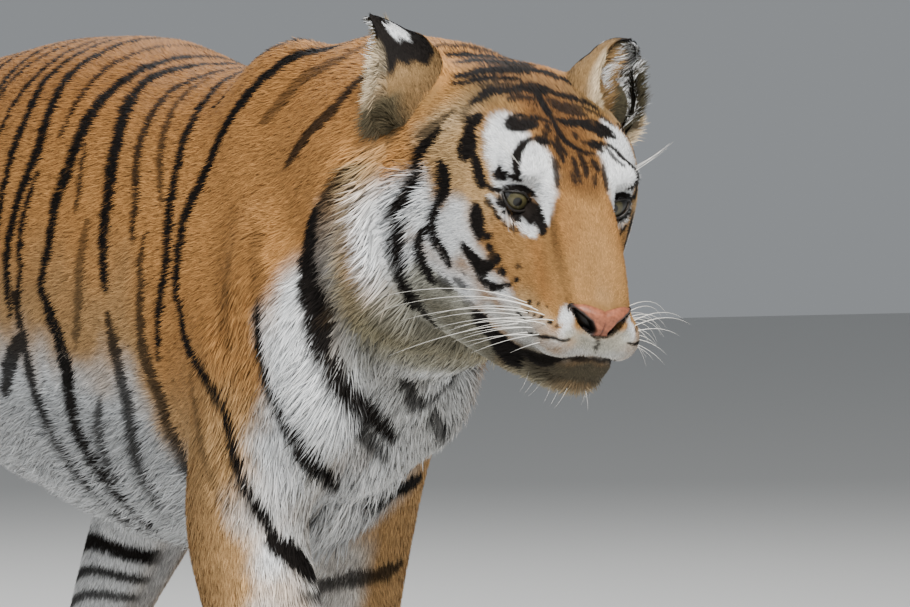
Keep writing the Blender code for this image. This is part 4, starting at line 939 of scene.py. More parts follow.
def body_colours(points, normals, region):
    """Colours of trunk, neck, legs and tail from their place and the way they face."""
    x, y, z = points.T
    fore = within(region, "foreleg_right", "foreleg_left")
    hind = within(region, "hindleg_right", "hindleg_left")
    tail = within(region, "tail")
    trunk_like = ~(fore | hind | tail)
    wave = ripple(points, .09) * .02
    colour = np.tile(np.asarray(ORANGE), (len(points), 1))
    colour = blend(colour, DEEP_ORANGE, (.4 + .35 * ease(y, -.55, -.35)) * ease(z, .76, .92))
    # flank: paler down the side, then cream and white under it, the belly's white greyed lower
    # down and on faces turned down as painted shade
    down = z + wave
    edge = .600 - .10 * ease(-y, .36, .44) - .11 * ease(y, -.06, .20)
    edge = edge + .022 * ripple(points, .34, 1)
    colour = blend(colour, TAN, .75 * (1 - ease(down, edge + .02, edge + .16)))
    under = 1 - ease(down, edge - .055, edge + .035)
    belly = np.asarray(WHITE) * (.54 + .42 * ease(z, .50, .62))[:, None]
    colour = blend(colour, belly, np.where(trunk_like, under, 0))
    # faces turned down, greyed: painted shade
    underside_shade = ease(-normals[:, 2], .35, .75) * (1 - ease(z, .64, .70))
    colour = blend(colour, np.asarray(WHITE) * .7, np.where(tail, 0, underside_shade))
    # white front of the shoulders and chest
    front = np.interp(z, (.30, .35, .41, .48, .52, .58, .66, .70, .74),
                      (-.62, -.612, -.602, -.608, -.628, -.668, -.676, -.702, -.742))
    lead = np.where(x > 0, .10, 0) * ease(-z, -.66, -.56)
    high = .68 + .03 * ease(-y, .70, .76)
    chest = ease(-(y + wave * .7 - front - lead), -.020, .022) * (1 - ease(z, high, high + .08))
    colour = blend(colour, WHITE, chest * ease(z, .30, .36))
    # the insides of the legs
    inner = -normals[:, 0] * np.sign(x)
    leg_cream = np.where(fore | hind, ease(inner, .10, .55), 0) * (1 - ease(z, .52, .60))
    colour = blend(colour, CREAM, .55 * leg_cream)
    colour = blend(colour, WHITE, .65 * leg_cream * ease(z, .10, .25))
    colour = blend(colour, TAN, np.where(fore | hind, .45 * (1 - ease(z, .12, .34)), 0))
    colour = blend(colour, CREAM, np.where(fore | hind, .6 * (1 - ease(z, .02, .10)), 0))
    colour = blend(colour, WHITE, np.where(hind & (z < .46), .85 * ease(inner, .1, .6), 0)
                   * ease(z, .05, .18))
    # far side of the chest, darker orange and grey-brown as painted shade
    colour = blend(colour, DEEP_ORANGE, .45 * ease(x, .10, .14) * (1 - ease(y, -.6, -.5)))
    shaded = ease(-normals[:, 1], .2, .7) * ease(x, .0, .07) * (1 - ease(y, -.56, -.46))
    colour = blend(colour, GREY_BROWN, .42 * shaded * ease(z, .28, .40) * (1 - ease(z, .66, .72)))
    # tail: pale beneath near its root
    colour = blend(colour, CREAM, np.where(tail, .7 * ease(-normals[:, 2], .0, .6), 0))
    side = folded(points + .006 * wave[:, None] / .02, points)
    on_front = np.flatnonzero(trunk_like & (y < -.58))
    for wash, strength, soft, path in BODY_WASHES:
        colour[on_front] = blend(colour[on_front], wash,
                                 strength * wash_cover(side[on_front], path, soft))
    place = points + .0022 * np.stack([ripple(points, .022), ripple(points, .026, 2),
                                       ripple(points, .024, 5)], -1)
    black = stroke_cover(place, normals, marks["body"], .0016, .03)
    for name, height, strength, radius in LEG_BANDS:
        gap = np.abs(z + .010 * np.sin(30 * y) - height) - radius
        band = strength * (1 - ease(gap, -.003, .003)) * ease(inner, -.15, .35)
        black = np.maximum(black, np.where(within(region, name), band, 0))
    low = np.flatnonzero(z < .09)
    black[low] = np.maximum(black[low], .75 * toe_clefts(points[low]))
    along, about = along_chain(points, "tail")
    for far, half in TAIL_RINGS:
        ring = 1 - ease(np.abs(along - far + .012 * np.sin(6.3 * about)) - half, -.004, .004)
        black = np.maximum(black, np.where(tail, ring, 0))
    black = np.maximum(black, np.where(tail, ease(along, 1.02, 1.06), 0))
    return blend(colour, BLACK, black)


def coat_colours(points, normals, region=None):
    """The body's colours, and the head's inside an edge that slopes from crown to throat."""
    if region is None:
        region, _ = lie_of(points)
    q = to_head(points)
    edge = 17 + 9 * ease(q[:, 2], -2, 4)
    on_head = 1 - ease(q[:, 1] - edge, -.5, 3.0)
    on_head = on_head * (1 - ease(-q[:, 2], 21.0, 23.0))
    body = body_colours(points, normals, region)
    return blend(body, head_colours(points, normals), on_head)


def mirrored(strokes, swing=0.0):
    """Strokes for the other side, carried along the body by up to swing on the way down."""
    made = []
    for strength, radius, path in strokes:
        path = np.array(path) * (-1, 1, 1)
        path[:, 1] += swing * np.sin(7 * path[:, 2] + 1) * ease(.93 - path[:, 2], 0, .08)
        made.append((strength, radius, path))
    return made


def lay_marks(points, faces):
    """All strokes, laid on the skin. The left side mirrors the right one but for its
    chest and foreleg, which have strokes of their own."""
    tree = BVHTree.FromPolygons(points.tolist(), faces.tolist())
    far_side = []
    for strength, radius, path in mirrored(RIGHT_STROKES, .020):
        _, y, z = path.mean(0)
        if y >= -.36 or z >= .60:
            far_side.append((strength, radius, path))
    marks["body"] = laid_on(tree, RIGHT_STROKES + far_side + LEFT_STROKES, 1.35)
    marks["head"] = laid_on(tree, FACE_STROKES + mirrored(FACE_STROKES) + CROWN_STROKES,
                            1.16, from_head, to_head)


# ------------------------------------------------------------------ the head's form

# Half outlines from crown to throat, at a distance y behind the irises.
HEAD_STATIONS = [
    (28.5, (0, 4.0), (4.5, 3.2), (8.0, .5), (10.0, -3.5), (10.4, -8.5), (8.8, -12.6),
     (5.2, -14.6), (0, -15.0)),
    (23.0, (0, 6.8), (5.5, 6.2), (9.6, 3.4), (12.2, -2.0), (13.6, -8.2), (12.2, -14.0),
     (7.0, -16.8), (0, -17.2)),
    (18.2, (0, 7.9), (5.5, 7.5), (9.7, 4.8), (12.3, -1.0), (13.8, -8.2), (12.6, -14.6),
     (7.4, -18.0), (0, -18.4)),
    (12.7, (0, 7.3), (5.5, 7.2), (9.5, 4.9), (11.7, -1.0), (12.8, -8.0), (11.6, -14.4),
     (7.0, -18.2), (0, -18.6)),
    (8.0, (0, 6.5), (5.2, 6.6), (9.1, 4.7), (10.9, -1.0), (11.2, -7.6), (9.9, -14.0),
     (6.2, -18.0), (0, -18.4)),
    (4.0, (0, 5.6), (4.6, 5.8), (8.1, 4.0), (9.7, -1.0), (9.5, -7.2), (8.2, -13.6),
     (5.3, -17.8), (0, -18.3)),
    (0.0, (0, 4.2), (3.4, 4.2), (5.4, 2.7), (6.7, -1.0), (7.4, -6.6), (6.5, -13.2),
     (4.5, -17.5), (0, -18.1)),
    (-3.3, (0, 2.0), (2.9, 1.5), (3.6, -1.2), (5.2, -5.4), (6.1, -9.8), (5.3, -13.4),
     (3.9, -17.0), (0, -17.7)),
    (-6.0, (0, 0), (2.8, -.5), (3.6, -3.3), (5.3, -7.5), (5.8, -10.6), (4.6, -13.1),
     (3.5, -16.5), (0, -17.2)),
    (-8.5, (0, -2.5), (2.7, -2.7), (4.1, -5.2), (5.3, -8.4), (5.3, -10.7), (4.2, -12.7),
     (3.1, -16.1), (0, -16.8)),
    (-10.8, (0, -5.0), (2.6, -5.3), (3.7, -7.0), (4.5, -9.1), (4.5, -10.7), (3.4, -12.2),
     (2.4, -15.0), (0, -15.7)),
    (-12.2, (0, -6.0), (2.4, -6.2), (3.3, -7.3), (3.4, -9.0), (3.3, -10.4), (2.5, -11.6),
     (1.2, -12.4), (0, -12.0)),
    (-13.0, (0, -6.8), (1.6, -6.9), (2.3, -7.6), (2.1, -9.0), (1.9, -10.0), (1.3, -10.8),
     (.6, -11.0), (0, -10.6)),
]


EAR_WIDTH = 9.8                 # cm
EARS = {  # foot in head cm, leans and opening in degrees, height in cm, form of the top
    "right": ((-9.7, 19.6, 3.8), 38, 4, -122, 9.8, 1.1, .95),
    "left": ((8.2, 16.8, 4.0), 22, 6, 30, 8.6, 2.3, .50),
}
EAR_WALL = .35                  # cm
EAR_HAIRS = 900_000.0           # per square metre


def ear_place(name, local):
    """From the ear's own frame, cup opening to -y, to head centimetres."""
    foot, out, back, opening = EARS[name][:4]
    side = EYE_SIDES[name]
    turned = turn(1, side * out) @ turn(0, -back) @ turn(2, opening)
    return local @ turned.T + foot


def ear_point(name, u, v, depth):
    """A cup: across it u from -1 to 1 runs over the back, up it v from the foot; the half
    width follows a round top, and the sheet lies depth outside its middle."""
    height, blunt, full = EARS[name][4:]
    outline = np.clip(1 - np.clip((v - .42) / .58, 0, 1) ** blunt, 0, 1) ** full
    half = EAR_WIDTH / 2 * (.86 + .14 * np.sin(math.pi * np.minimum(v / .6, 1))) * outline
    wrap = np.radians(118 - 62 * v)
    radius = half / np.maximum(np.sin(np.minimum(wrap, math.pi / 2)), .2)
    angle = u * wrap
    r = radius + depth
    return np.stack([r * np.sin(angle), r * np.cos(angle) - r * .35 - v * v,
                     height * v], -1)


def head_forms():
    """Closed forms of the head in head centimetres, which the remesh joins."""
    outlines = []
    for station in HEAD_STATIONS:
        half = curve_through(station[1:], 6)
        ring = np.concatenate([half, half[-2:0:-1] * (-1, 1)])
        outlines.append(np.column_stack([ring[:, 0], np.full(len(ring), station[0]),
                                         ring[:, 1]]))
    forms = [closed_tube(curve_through(outlines, 8)[::-1])]
    spine = curve_through([(2.0, 2.0, 3.3, 2.0, 3.0), (-3.0, .3, 3.4, 1.9, 3.0),
                           (-8.0, -3.4, 3.5, 1.75, 3.0), (-11.8, -7.0, 3.3, 1.6, 2.2)], 8)
    angle = turns(48)
    c, s = (np.sign(f) * np.abs(f) ** (2 / 3) for f in (np.cos(angle), np.sin(angle)))
    rise = np.where(s > 0, s, 0) * spine[:, 3:4] + np.where(s < 0, s, 0) * spine[:, 4:5]
    rings = np.stack([spine[:, 2:3] * c, spine[:, :1] + rise * -.45,
                      spine[:, 1:2] + rise * .89], -1)
    forms.append(closed_tube(rings))
    forms += [oval((0, -11.8, -7.6), (3.3, 1.7, 1.9)), oval((0, -8.2, -14.3), (3.2, 3.6, 2.5))]
    for side in (-1, 1):
        forms += [oval((side * 2.9, -9.2, -9.8), (2.9, 4.2, 2.7)),
                  oval((side * 5.0, 1.6, 3.1), (2.8, 2.8, 1.6))]
    for name in EARS:
        points, faces = oval((0, -.2, 1.2), (4.3, 3.7, 3.3))
        forms.append((ear_place(name, points), faces))
    return forms


# ------------------------------------------------------------------ skin

FLESH = [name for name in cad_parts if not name.startswith(("eye_", "ear_"))]
BALL = 1.90                     # radius of the eyeball, cm
LID = 2.06                      # where the lids pass over it
EYE_TILT = 20                   # outer corner above the inner one, degrees
EYE_WIDE, EYE_ABOVE, EYE_BELOW = np.radians((56, 28, 29))


def eye_place(side):
    return np.array([side * 5.4, EYE_BACK, -0.1])


def lid_axes(side):
    """Directions forward, outward and up of an eye's opening, in the head's frame."""
    forward = unit(np.array([side * .14, -1.0, 0.0]))
    c, s = math.cos(math.radians(EYE_TILT)), math.sin(math.radians(EYE_TILT))
    outward = unit(np.array([side * c, side * c * side * .14, s]))
    return forward, outward, np.cross(forward, outward) * -side


def opening_gap(q, side):
    """How far outside the eye's opening a point lies, in cm on the lids' sphere.

    The opening is an almond: |across|^1.7 + |up|^1.7 = 1, each over its half angle."""
    forward, outward, up = lid_axes(side)
    ray = unit(q - eye_place(side))
    a = np.arctan2(ray @ outward, ray @ forward) / EYE_WIDE
    b = np.arctan2(ray @ up, ray @ forward)
    b = b / np.where(b > 0, EYE_ABOVE, EYE_BELOW)
    size = np.sqrt(np.abs(a) ** 1.7 + np.abs(b) ** 1.7 + 1e-9)
    behind = ray @ forward < .15
    return np.where(behind, 9.0, (size - 1) * 1.15)


PAD_TOP, PAD_TALL = -5.75, 3.35     # cm in the head's frame


def pad_half_width(t):
    """Half width of the nose pad, from its top at t = 0 to the philtrum at t = 1."""
    return np.interp(t, (0, .10, .28, .5, .68, .82, .94, 1),
                     (2.3, 3.35, 3.30, 2.85, 2.40, 1.85, .9, .35))


def pad_front(x, t):
    """How far forward the leather lies: bowed across, and back at top and bottom."""
    return -13.5 + .105 * x ** 2 + .35 * (t - .35) ** 2 + .35 * ease(t, .55, 1.0)


NOSTRIL = [(-3.0, 0, -6.45, .10), (-2.5, 0, -7.0, .36), (-1.8, 0, -7.7, .62),
           (-1.15, 0, -8.2, .42)]


def from_front(q):
    """Points of the head's right half laid flat, as seen from in front of the nose."""
    return folded(q, q) * (1, 0, 1)


MOUTH = [(0, -12.9, -11.1, .2), (-1.6, -12.6, -11.4, .3), (-3.2, -11.4, -12.2, .34),
         (-4.2, -8.2, -13.3, .36), (-4.8, -5.2, -13.9, .38), (-5.3, -2.6, -13.9, .30),
         (-5.9, -.8, -13.4, .16)]


# Pressed into both halves of the face: depth in cm (minus swells), edge, chain of balls.
CREASES = [
    (.38, .30, MOUTH),
    (.30, .28, [(0, -13.4, -8.9, .02), (0, -13.2, -10.9, .06)]),        # under the nose
    (.16, .9, [(-.2, 3.0, 5.6, .1), (-.1, 9.0, 7.0, .1)]),              # up the brow
    (.12, .7, [(-8.0, 1.6, -2.4, .1), (-6.0, -1.4, -3.6, .1),           # under the eye
               (-4.2, -3.6, -4.2, .1)]),
    (-.22, 1.9, [(-4.6, -10.2, -9.6, .6), (-4.8, -7.6, -9.8, .6)]),     # whisker pad
]
LID_REACH = 1.45                # cm from an eye's axis out to which the lids hug the ball


def sculpted(q, normals):
    """Presses the eyes' openings, nostrils, mouth and creases into face points q (cm)."""
    q = q.copy()
    mirror = folded(q, q)
    t = (PAD_TOP - q[:, 2]) / PAD_TALL
    bed = ease(pad_half_width(t) - np.abs(q[:, 0]), -.15, .25) * ease(t, -.06, .04) \
        * (1 - ease(t, .98, 1.06)) * (q[:, 1] < -9)
    sunk = pad_front(q[:, 0], t) + .45 + 1.5 * wash_cover(from_front(q), NOSTRIL, .5)
    q[:, 1] += np.maximum(sunk - q[:, 1], 0) * bed
    for depth, soft, path in CREASES:
        q -= normals * (depth * wash_cover(mirror, path, soft))[:, None]
    for way in EYE_SIDES.values():
        out = q - eye_place(way)
        far = np.linalg.norm(out, axis=1)
        near = far < 4.2
        forward, outward, up = lid_axes(way)
        own = out[near]
        ahead, aside, above = own @ forward, own @ outward, own @ up
        lateral = np.hypot(aside, above)
        nose_side = ease(-aside / np.maximum(lateral, .01), .2, .8)
        slope = .45 + .95 * nose_side
        bowl = np.sqrt(np.maximum(LID ** 2 - np.minimum(lateral, LID_REACH) ** 2, 0)) + .04
        bowl += slope * np.maximum(lateral - LID_REACH, 0)
        back = np.maximum(ahead - bowl, 0) * (1 - ease(lateral, 2.0, 3.4)) * (ahead > 0)
        own = own - forward * back[:, None]
        gap = opening_gap(eye_place(way) + own, way)
        r = np.linalg.norm(own, axis=1)
        hug = 1 - ease(gap, .25, 1.0)
        goal = r + (LID + .03 + .2 * np.clip(gap, 0, 1) - r) * hug
        goal = np.where(gap < 0, 1.45, goal)
        q[near] = eye_place(way) + own / r[:, None] * goal[:, None]
    return q


TOES = {  # middle of each paw's toes (x, y), their spacing and how far forward they reach
    "foreleg_right": (-.091, -.700, .032, .058), "foreleg_left": (.087, -.500, .032, .058),
    "hindleg_right": (-.095, .370, .028, .055), "hindleg_left": (.093, .040, .028, .055),
}


def toe_clefts(points):
    """How far points lie in the clefts between the toes, 0 to 1."""
    found = np.zeros(len(points))
    for x, y, step, reach in TOES.values():
        for k in (-1, 0, 1):
            cleft = wash_cover(points, [(x + k * step * .9, y + .005, .066, .001),
                                        (x + k * step, y - reach * .6, .050, .003),
                                        (x + k * step, y - reach * 1.15, .012, .005)], .005)
            found = np.maximum(found, cleft)
    return found


def flesh_surface():
    """(points, triangles) of the joined flesh: the frame's parts behind the skull with
    their cuts closed, and the head's own forms, as one remeshed and relaxed surface."""
    parts = []
    for name in FLESH:
        if name in ("head", "lower_jaw"):
            continue
        points, faces = arrays_of(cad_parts[name])
        _, keep, back = np.unique(np.round(points, 5), axis=0, return_index=True,
                                  return_inverse=True)
        points, faces = points[keep], back.reshape(-1)[faces]
        # a little larger, so that parts that only touch are joined
        parts.append((points + normals_of(points, faces) * .0006, faces))
    parts += [(from_head(points), faces) for points, faces in head_forms()]
    flesh = mesh_from("flesh", *joined(parts))
    remesh = flesh.modifiers.new("join", "REMESH")
    remesh.mode = "VOXEL"
    remesh.voxel_size = VOXEL
    points, faces = arrays_of(flesh)
    bpy.data.objects.remove(flesh)
    q = to_head(points)
    face_like = 1 - ease(q[:, 1], 13.0, 21.0)
    paw_like = 1 - ease(points[:, 2], .05, .16)
    share = .5 * (1 - .985 * face_like) * (1 - .93 * paw_like)
    points = relaxed(points, edges_of(faces), share, 52)
    points = relaxed(points, edges_of(faces), np.full(len(points), .4), 2)
    normals = normals_of(points, faces)
    length, _, lift, _ = coat_measures(points, normals)
    low = np.flatnonzero(points[:, 2] < .09)
    points[low] -= normals[low] * (.006 * toe_clefts(points[low]))[:, None]
    return points - normals * (.55 * length * lift)[:, None], faces


def thinned(points, faces):
    """Thins the body's triangles and leaves those of the face, by a Decimate modifier."""
    obj = mesh_from("thin", points, faces)
    q = to_head(points)
    body = np.flatnonzero((q[:, 1] > 11) | (q[:, 2] < -22))
    obj.vertex_groups.new(name="body").add(body.tolist(), 1.0, "REPLACE")
    thin = obj.modifiers.new("thin", "DECIMATE")
    thin.ratio = SKIN_TRIANGLES / len(faces)
    thin.vertex_group = "body"
    thin.vertex_group_factor = 0.0
    thin.use_collapse_triangulate = True
    made = arrays_of(obj)
    bpy.data.objects.remove(obj)
    return made


def split_face(points, faces):
    """Divides every triangle of the face front into four at the middles of its edges,
    and its neighbours into two or three so that nothing opens."""
    q = to_head(points)
    middle = q[faces].mean(1)
    chosen = (middle[:, 1] < 4.5) & (middle[:, 2] > -17.5)
    ends = np.sort(np.concatenate([faces[:, [0, 1]], faces[:, [1, 2]], faces[:, [2, 0]]]),
                   axis=1)
    key = ends[:, 0].astype(np.int64) * len(points) + ends[:, 1]
    cut_keys = np.unique(key[np.tile(chosen, 3)])
    at = np.searchsorted(cut_keys, key)
    cut = (at < len(cut_keys)) & (cut_keys[np.minimum(at, len(cut_keys) - 1)] == key)
    new = np.where(cut, len(points) + at, -1).reshape(3, -1).T
    halves = np.stack([cut_keys // len(points), cut_keys % len(points)], -1)
    points = np.concatenate([points, points[halves].mean(1)])
    made = [faces[(new < 0).all(1)]]
    for turn_by in range(3):
        f, n = np.roll(faces, -turn_by, axis=1), np.roll(new, -turn_by, axis=1)
        if turn_by == 0:
            full = (n >= 0).all(1)
            a, b, c = f[full].T
            d, e, g = n[full].T
            made += [np.stack(t, -1) for t in ((a, d, g), (d, b, e), (g, e, c), (d, e, g))]
        one = (n[:, 0] >= 0) & (n[:, 1] < 0) & (n[:, 2] < 0)
        a, b, c = f[one].T
        made += [np.stack(t, -1) for t in ((a, n[one, 0], c), (n[one, 0], b, c))]
        two = (n[:, 0] >= 0) & (n[:, 1] >= 0) & (n[:, 2] < 0)
        a, b, c = f[two].T
        d, e = n[two, 0], n[two, 1]
        made += [np.stack(t, -1) for t in ((d, b, e), (a, d, e), (a, e, c))]
    return points, np.concatenate(made)


# ------------------------------------------------------------------ tufts


def scattered(points, faces, density):
    """Seeded places of density x area tufts: (corners, shares) of each in its triangle."""
    a, b, c = (points[faces[:, k]] for k in range(3))
    area = np.linalg.norm(np.cross(b - a, c - a), axis=1) / 2
    total = np.cumsum(area * density[faces].mean(1))
    count = int(total[-1])
    pick = np.searchsorted(total, (np.arange(count) + rng.random(count)) * total[-1] / count)
    u, v = rng.random(count), rng.random(count)
    over = u + v > 1
    u[over], v[over] = 1 - u[over], 1 - v[over]
    return faces[np.minimum(pick, len(faces) - 1)], np.stack([1 - u - v, u, v], -1)


def carried(values, corners, shares):
    return np.einsum("nk...,nk->n...", values[corners], shares)


# A tuft is rows of points: how far along it, and how wide its blade is there.
LOCK = ((0, 1), (.5, .82), (1, 0))
HAIR = ((0, 1), (1, 0))
LONG = .0165                    # length from which a tuft is a bending lock


def tuft_arrays(kind, roots, normals, ways, length, width, lift, colours, uv):
    """Points, triangles, colours, normals and uv of tapering tufts.

    A tuft starts a little inside the skin and bends back along the coat: at a share t of
    its length it stands length x (lift t - .38 lift t^2) off the skin. Its normals turn
    outwards at both edges, so that it shades as a round lock."""
    count = len(roots)
    across = unit(np.cross(ways, normals))
    roll = rng.normal(0, .5, count)[:, None]
    side = across * np.cos(roll) + normals * np.sin(roll)
    ways = unit(ways + across * rng.normal(0, .15, count)[:, None])
    length, half, lift = length[:, None], width[:, None] / 2, lift[:, None]
    tone = rng.normal(1, .19, count)[:, None] * (1 + .13 * ripple(roots, .019, 2))[:, None]
    tone = tone * np.where(rng.random(count) < .10, .5, 1)[:, None]
    rows, leans, shades, places = [], [], [], []
    for t, wide in kind:
        middle = roots + ways * length * t + normals * (length * lift * (t - .38 * t * t)
                                                        - .0008 * (t == 0))
        here = colours[0] if t < .9 else colours[1]
        for sign in ((-1, 1) if wide else (0,)):
            rows.append(middle + side * half * wide * sign)
            leans.append(unit(normals + across * .7 * sign + ways * .12))
            shades.append(here * (np.interp(t, (0, .5, 1), (.55, .93, 1.1)) * tone))
            places.append(uv + .003 * np.array([.5 + .5 * sign, t]))
    points = np.stack(rows, 1)
    points[:, :, 2] = np.maximum(points[:, :, 2], FLOOR_GAP)
    own = np.array([[0, 1, 3], [0, 3, 2], [2, 3, 4]] if len(kind) == 3 else [[0, 1, 2]])
    faces = (np.arange(count)[:, None, None] * points.shape[1] + own).reshape(-1, 3)
    return (points.reshape(-1, 3), faces, np.clip(np.stack(shades, 1), 0, 1).reshape(-1, 3),
            np.stack(leans, 1).reshape(-1, 3), np.stack(places, 1).reshape(-1, 2))


def tuft_piece(name, long, *values):
    """One mesh of tufts: locks of three triangles where long, single hairs elsewhere."""
    sets = [tuft_arrays(kind, *(value[..., own, :] if value.ndim == 3 else value[own]
                                for value in values))
            for kind, own in ((LOCK, long), (HAIR, ~long)) if own.any()]
    starts = np.cumsum([0] + [len(made[0]) for made in sets])
    points, faces, colours, normals, uv = (
        np.concatenate([made[k] + (start if k == 1 else 0)
                        for made, start in zip(sets, starts)]) for k in range(5))
    return mesh_from(name, points, faces, colours, normals, uv)


def unwrapped(points, name):
    """Places in the unit square: turns about the middle line, and metres along it."""
    along, about = along_chain(points, name)
    rows = CHAINS[name]
    total = np.linalg.norm(np.diff(rows[:, :3], axis=0), axis=1).sum()
    v = np.clip((along + .12) / (total + .24), 0, .995)
    return np.stack([about * .99, v], -1)


# Kinds of hair: length, width, lift, and number per square metre.
BODY_HAIR = (.0135, .0015, .30, 340_000)
LEG_HAIR = (.0115, .0014, .28, 330_000)
PAW_HAIR = (.0085, .0013, .28, 330_000)
TAIL_HAIR = (.018, .0017, .30, 230_000)
BELLY_HAIR = (.040, .0020, .45, 80_000)
CHEST_HAIR = (.030, .0019, .36, 95_000)
RUFF_HAIR = (.038, .0019, .30, 100_000)
CROWN_HAIR = (.0105, .0013, .26, 400_000)
FACE_HAIR = (.0070, .0011, .25, 620_000)
MUZZLE_HAIR = (.0045, .0009, .24, 900_000)
CHIN_HAIR = (.014, .0013, .55, 300_000)


def coat_measures(points, normals, region=None):
    """Hair length, width, lift and number per square metre at points: each kind of hair
    takes its share of what was there before it."""
    q = to_head(points)
    if region is None:
        region, _ = lie_of(points)
    y, z = points.T[1:]
    measures = [np.full(len(points), float(value)) for value in BODY_HAIR]

    def put(share, hair_kind):
        for measure, value in zip(measures, hair_kind):
            measure += (value - measure) * share

    limbs = within(region, *LEGS)
    put(np.where(limbs, 1 - ease(z, .35, .55), 0), LEG_HAIR)
    put(np.where(limbs, 1 - ease(z, .06, .16), 0), PAW_HAIR)
    put(np.where(within(region, "tail"), 1.0, 0), TAIL_HAIR)
    # long pale hair under the belly and on the chest
    trunk = within(region, "trunk", "neck")
    belly = ease(-normals[:, 2], .15, .6) * (z < .60) * (y > -.56) * (1 - ease(y, .02, .16))
    put(np.where(trunk, belly, 0), BELLY_HAIR)
    chest = (1 - ease(y, -.60, -.56)) * (1 - ease(z, .62, .70)) * ease(z, .40, .46)
    put(np.where(q[:, 1] > 16, chest, 0) * .9, CHEST_HAIR)
    # ruff behind the cheeks, then the shorter and shorter hair of the face
    ruff = ease(q[:, 1], 6, 12) * (1 - ease(q[:, 1], 17, 23)) * (1 - ease(q[:, 2], -3, 4))
    put(ruff, RUFF_HAIR)
    crown = (1 - ease(q[:, 1], 15, 22)) * ease(q[:, 2], -3, 4)
    put(crown, CROWN_HAIR)
    put(1 - ease(q[:, 1], 3.0, 9.5), FACE_HAIR)
    put(1 - ease(q[:, 1], -9.0, 0), MUZZLE_HAIR)
    chin = (1 - ease(q[:, 2], -14.6, -13.4)) * (1 - ease(q[:, 1], -4, 0))
    put(chin, CHIN_HAIR)
    return measures


def bare(points):
    """True where no hair grows: the eyes' openings, nose pad, lips and pads of the feet."""
    q = to_head(points)
    mirror = folded(q, q)
    found = points[:, 2] < .004
    for way in EYE_SIDES.values():
        close = np.linalg.norm(q - eye_place(way), axis=1) < 4.0
        found |= close & (opening_gap(q, way) < .13)
    found |= (q[:, 1] < -10.5) & on_nose_pad(q)
    found |= wash_cover(mirror, MOUTH, .12) > .5
    return found


# ------------------------------------------------------------------ nose, eyes, ears


def on_nose_pad(q):
    t = (PAD_TOP - q[:, 2]) / PAD_TALL
    return (t > -.02) & (t < 1.05) & (np.abs(q[:, 0]) < pad_half_width(t) * .97)


def nose_pad():
    """The leather of the nose: a bowed shield whose rim sinks into the skin, with a
    comma-shaped nostril pressed into each side and a groove down its middle."""
    rows, columns = 72, 112
    t, s = np.meshgrid(np.linspace(0, 1, rows), np.linspace(-1, 1, columns), indexing="ij")
    half = pad_half_width(t)
    x = s * half
    z = PAD_TOP - PAD_TALL * t - .42 * (1 - np.abs(s)) ** 2 * (1 - t) ** 2
    y = pad_front(x, t)
    rim = np.maximum(np.abs(s) ** 6, np.maximum((1 - t) ** 14, t ** 14))
    y = y + .75 * rim
    q = np.stack([x, y, z], -1).reshape(-1, 3)
    flat = from_front(q)
    hole = wash_cover(flat, NOSTRIL, .16)
    wing = wash_cover(flat, NOSTRIL, .55)
    q[:, 1] += 1.15 * hole - .20 * (wing - hole) * (hole < .4)
    groove = np.exp(-(q[:, 0] / .10) ** 2) * ease(-q[:, 2], 6.8, 7.8)
    q[:, 1] += .16 * groove
    pink = np.tile(np.asarray(NOSE_PINK), (len(q), 1))
    pink *= (1 + .28 * ripple(q, .7) + .16 * ripple(q, .25, 3))[:, None]
    dark = wash_cover(flat, [(-3.3, 0, -6.2, .30), (-2.6, 0, -6.9, .68),
                             (-1.95, 0, -7.6, .92), (-1.35, 0, -8.3, .72)], .16)
    pink = blend(pink, (.030, .022, .020), dark)
    pink = blend(pink, (.060, .042, .040), ease(-q[:, 2], 8.5, 9.0))
    # painted shade: the nostrils' insides near black
    pink = blend(pink, (.003, .003, .003), ease(hole, .05, .5))
    # painted shade in the groove down the middle
    pink = blend(pink, (.08, .035, .028), groove * .7)
    pad = mesh_from("nose_pad", from_head(q), grid_faces(rows, columns)[:, ::-1], pink)
    wall = pad.modifiers.new("wall", "SOLIDIFY")
    wall.thickness = .004
    wall.offset = -1
    return pad


def eyeball(name, side):
    """The eye: a ball with the clear bulge of the cornea over the iris, from the front
    pole outwards. The iris has fine spokes and a round pupil, and a dark rim."""
    gaze = unit(np.array([-.35, -EYE_BACK, 0.0]))
    aside = unit(np.cross(gaze, (0, 0, 1)))
    upright = np.cross(aside, gaze)
    polar = np.concatenate([np.linspace(.001, .70, 60), np.linspace(.73, 2.6, 24)])
    about = turns(96)
    radius = BALL - .01 + .07 * (1 - ease(polar, .05, .68))
    rings = (np.outer(radius * np.cos(polar), np.ones(len(about)))[..., None] * gaze
             + np.outer(radius * np.sin(polar), np.cos(about))[..., None] * aside
             + np.outer(radius * np.sin(polar), np.sin(about))[..., None] * upright)
    points, faces = closed_tube(rings)
    off = np.arccos(np.clip(unit(points) @ gaze, -1, 1))
    spin = np.arctan2(points @ upright, points @ aside)
    spokes = (.5 + .5 * np.sin(spin * 37 + 2 * np.sin(spin * 5))) * .35 \
        + .3 * np.sin(spin * 71 + off * 9)
    iris = np.tile(np.asarray(IRIS_OLIVE), (len(points), 1))
    iris *= (.85 + .35 * spokes)[:, None]
    iris = blend(iris, (.054, .047, .022), 1 - ease(np.abs(off - .34), .02, .12))
    iris = blend(iris, (.02, .018, .012), ease(off, .52, .58))
    iris = blend(iris, (.006, .005, .004), ease(off, .58, .62))
    iris = blend(iris, (.002, .002, .002), 1 - ease(off, .225, .255))
    return mesh_from(name, from_head(points + eye_place(side)), faces, iris)


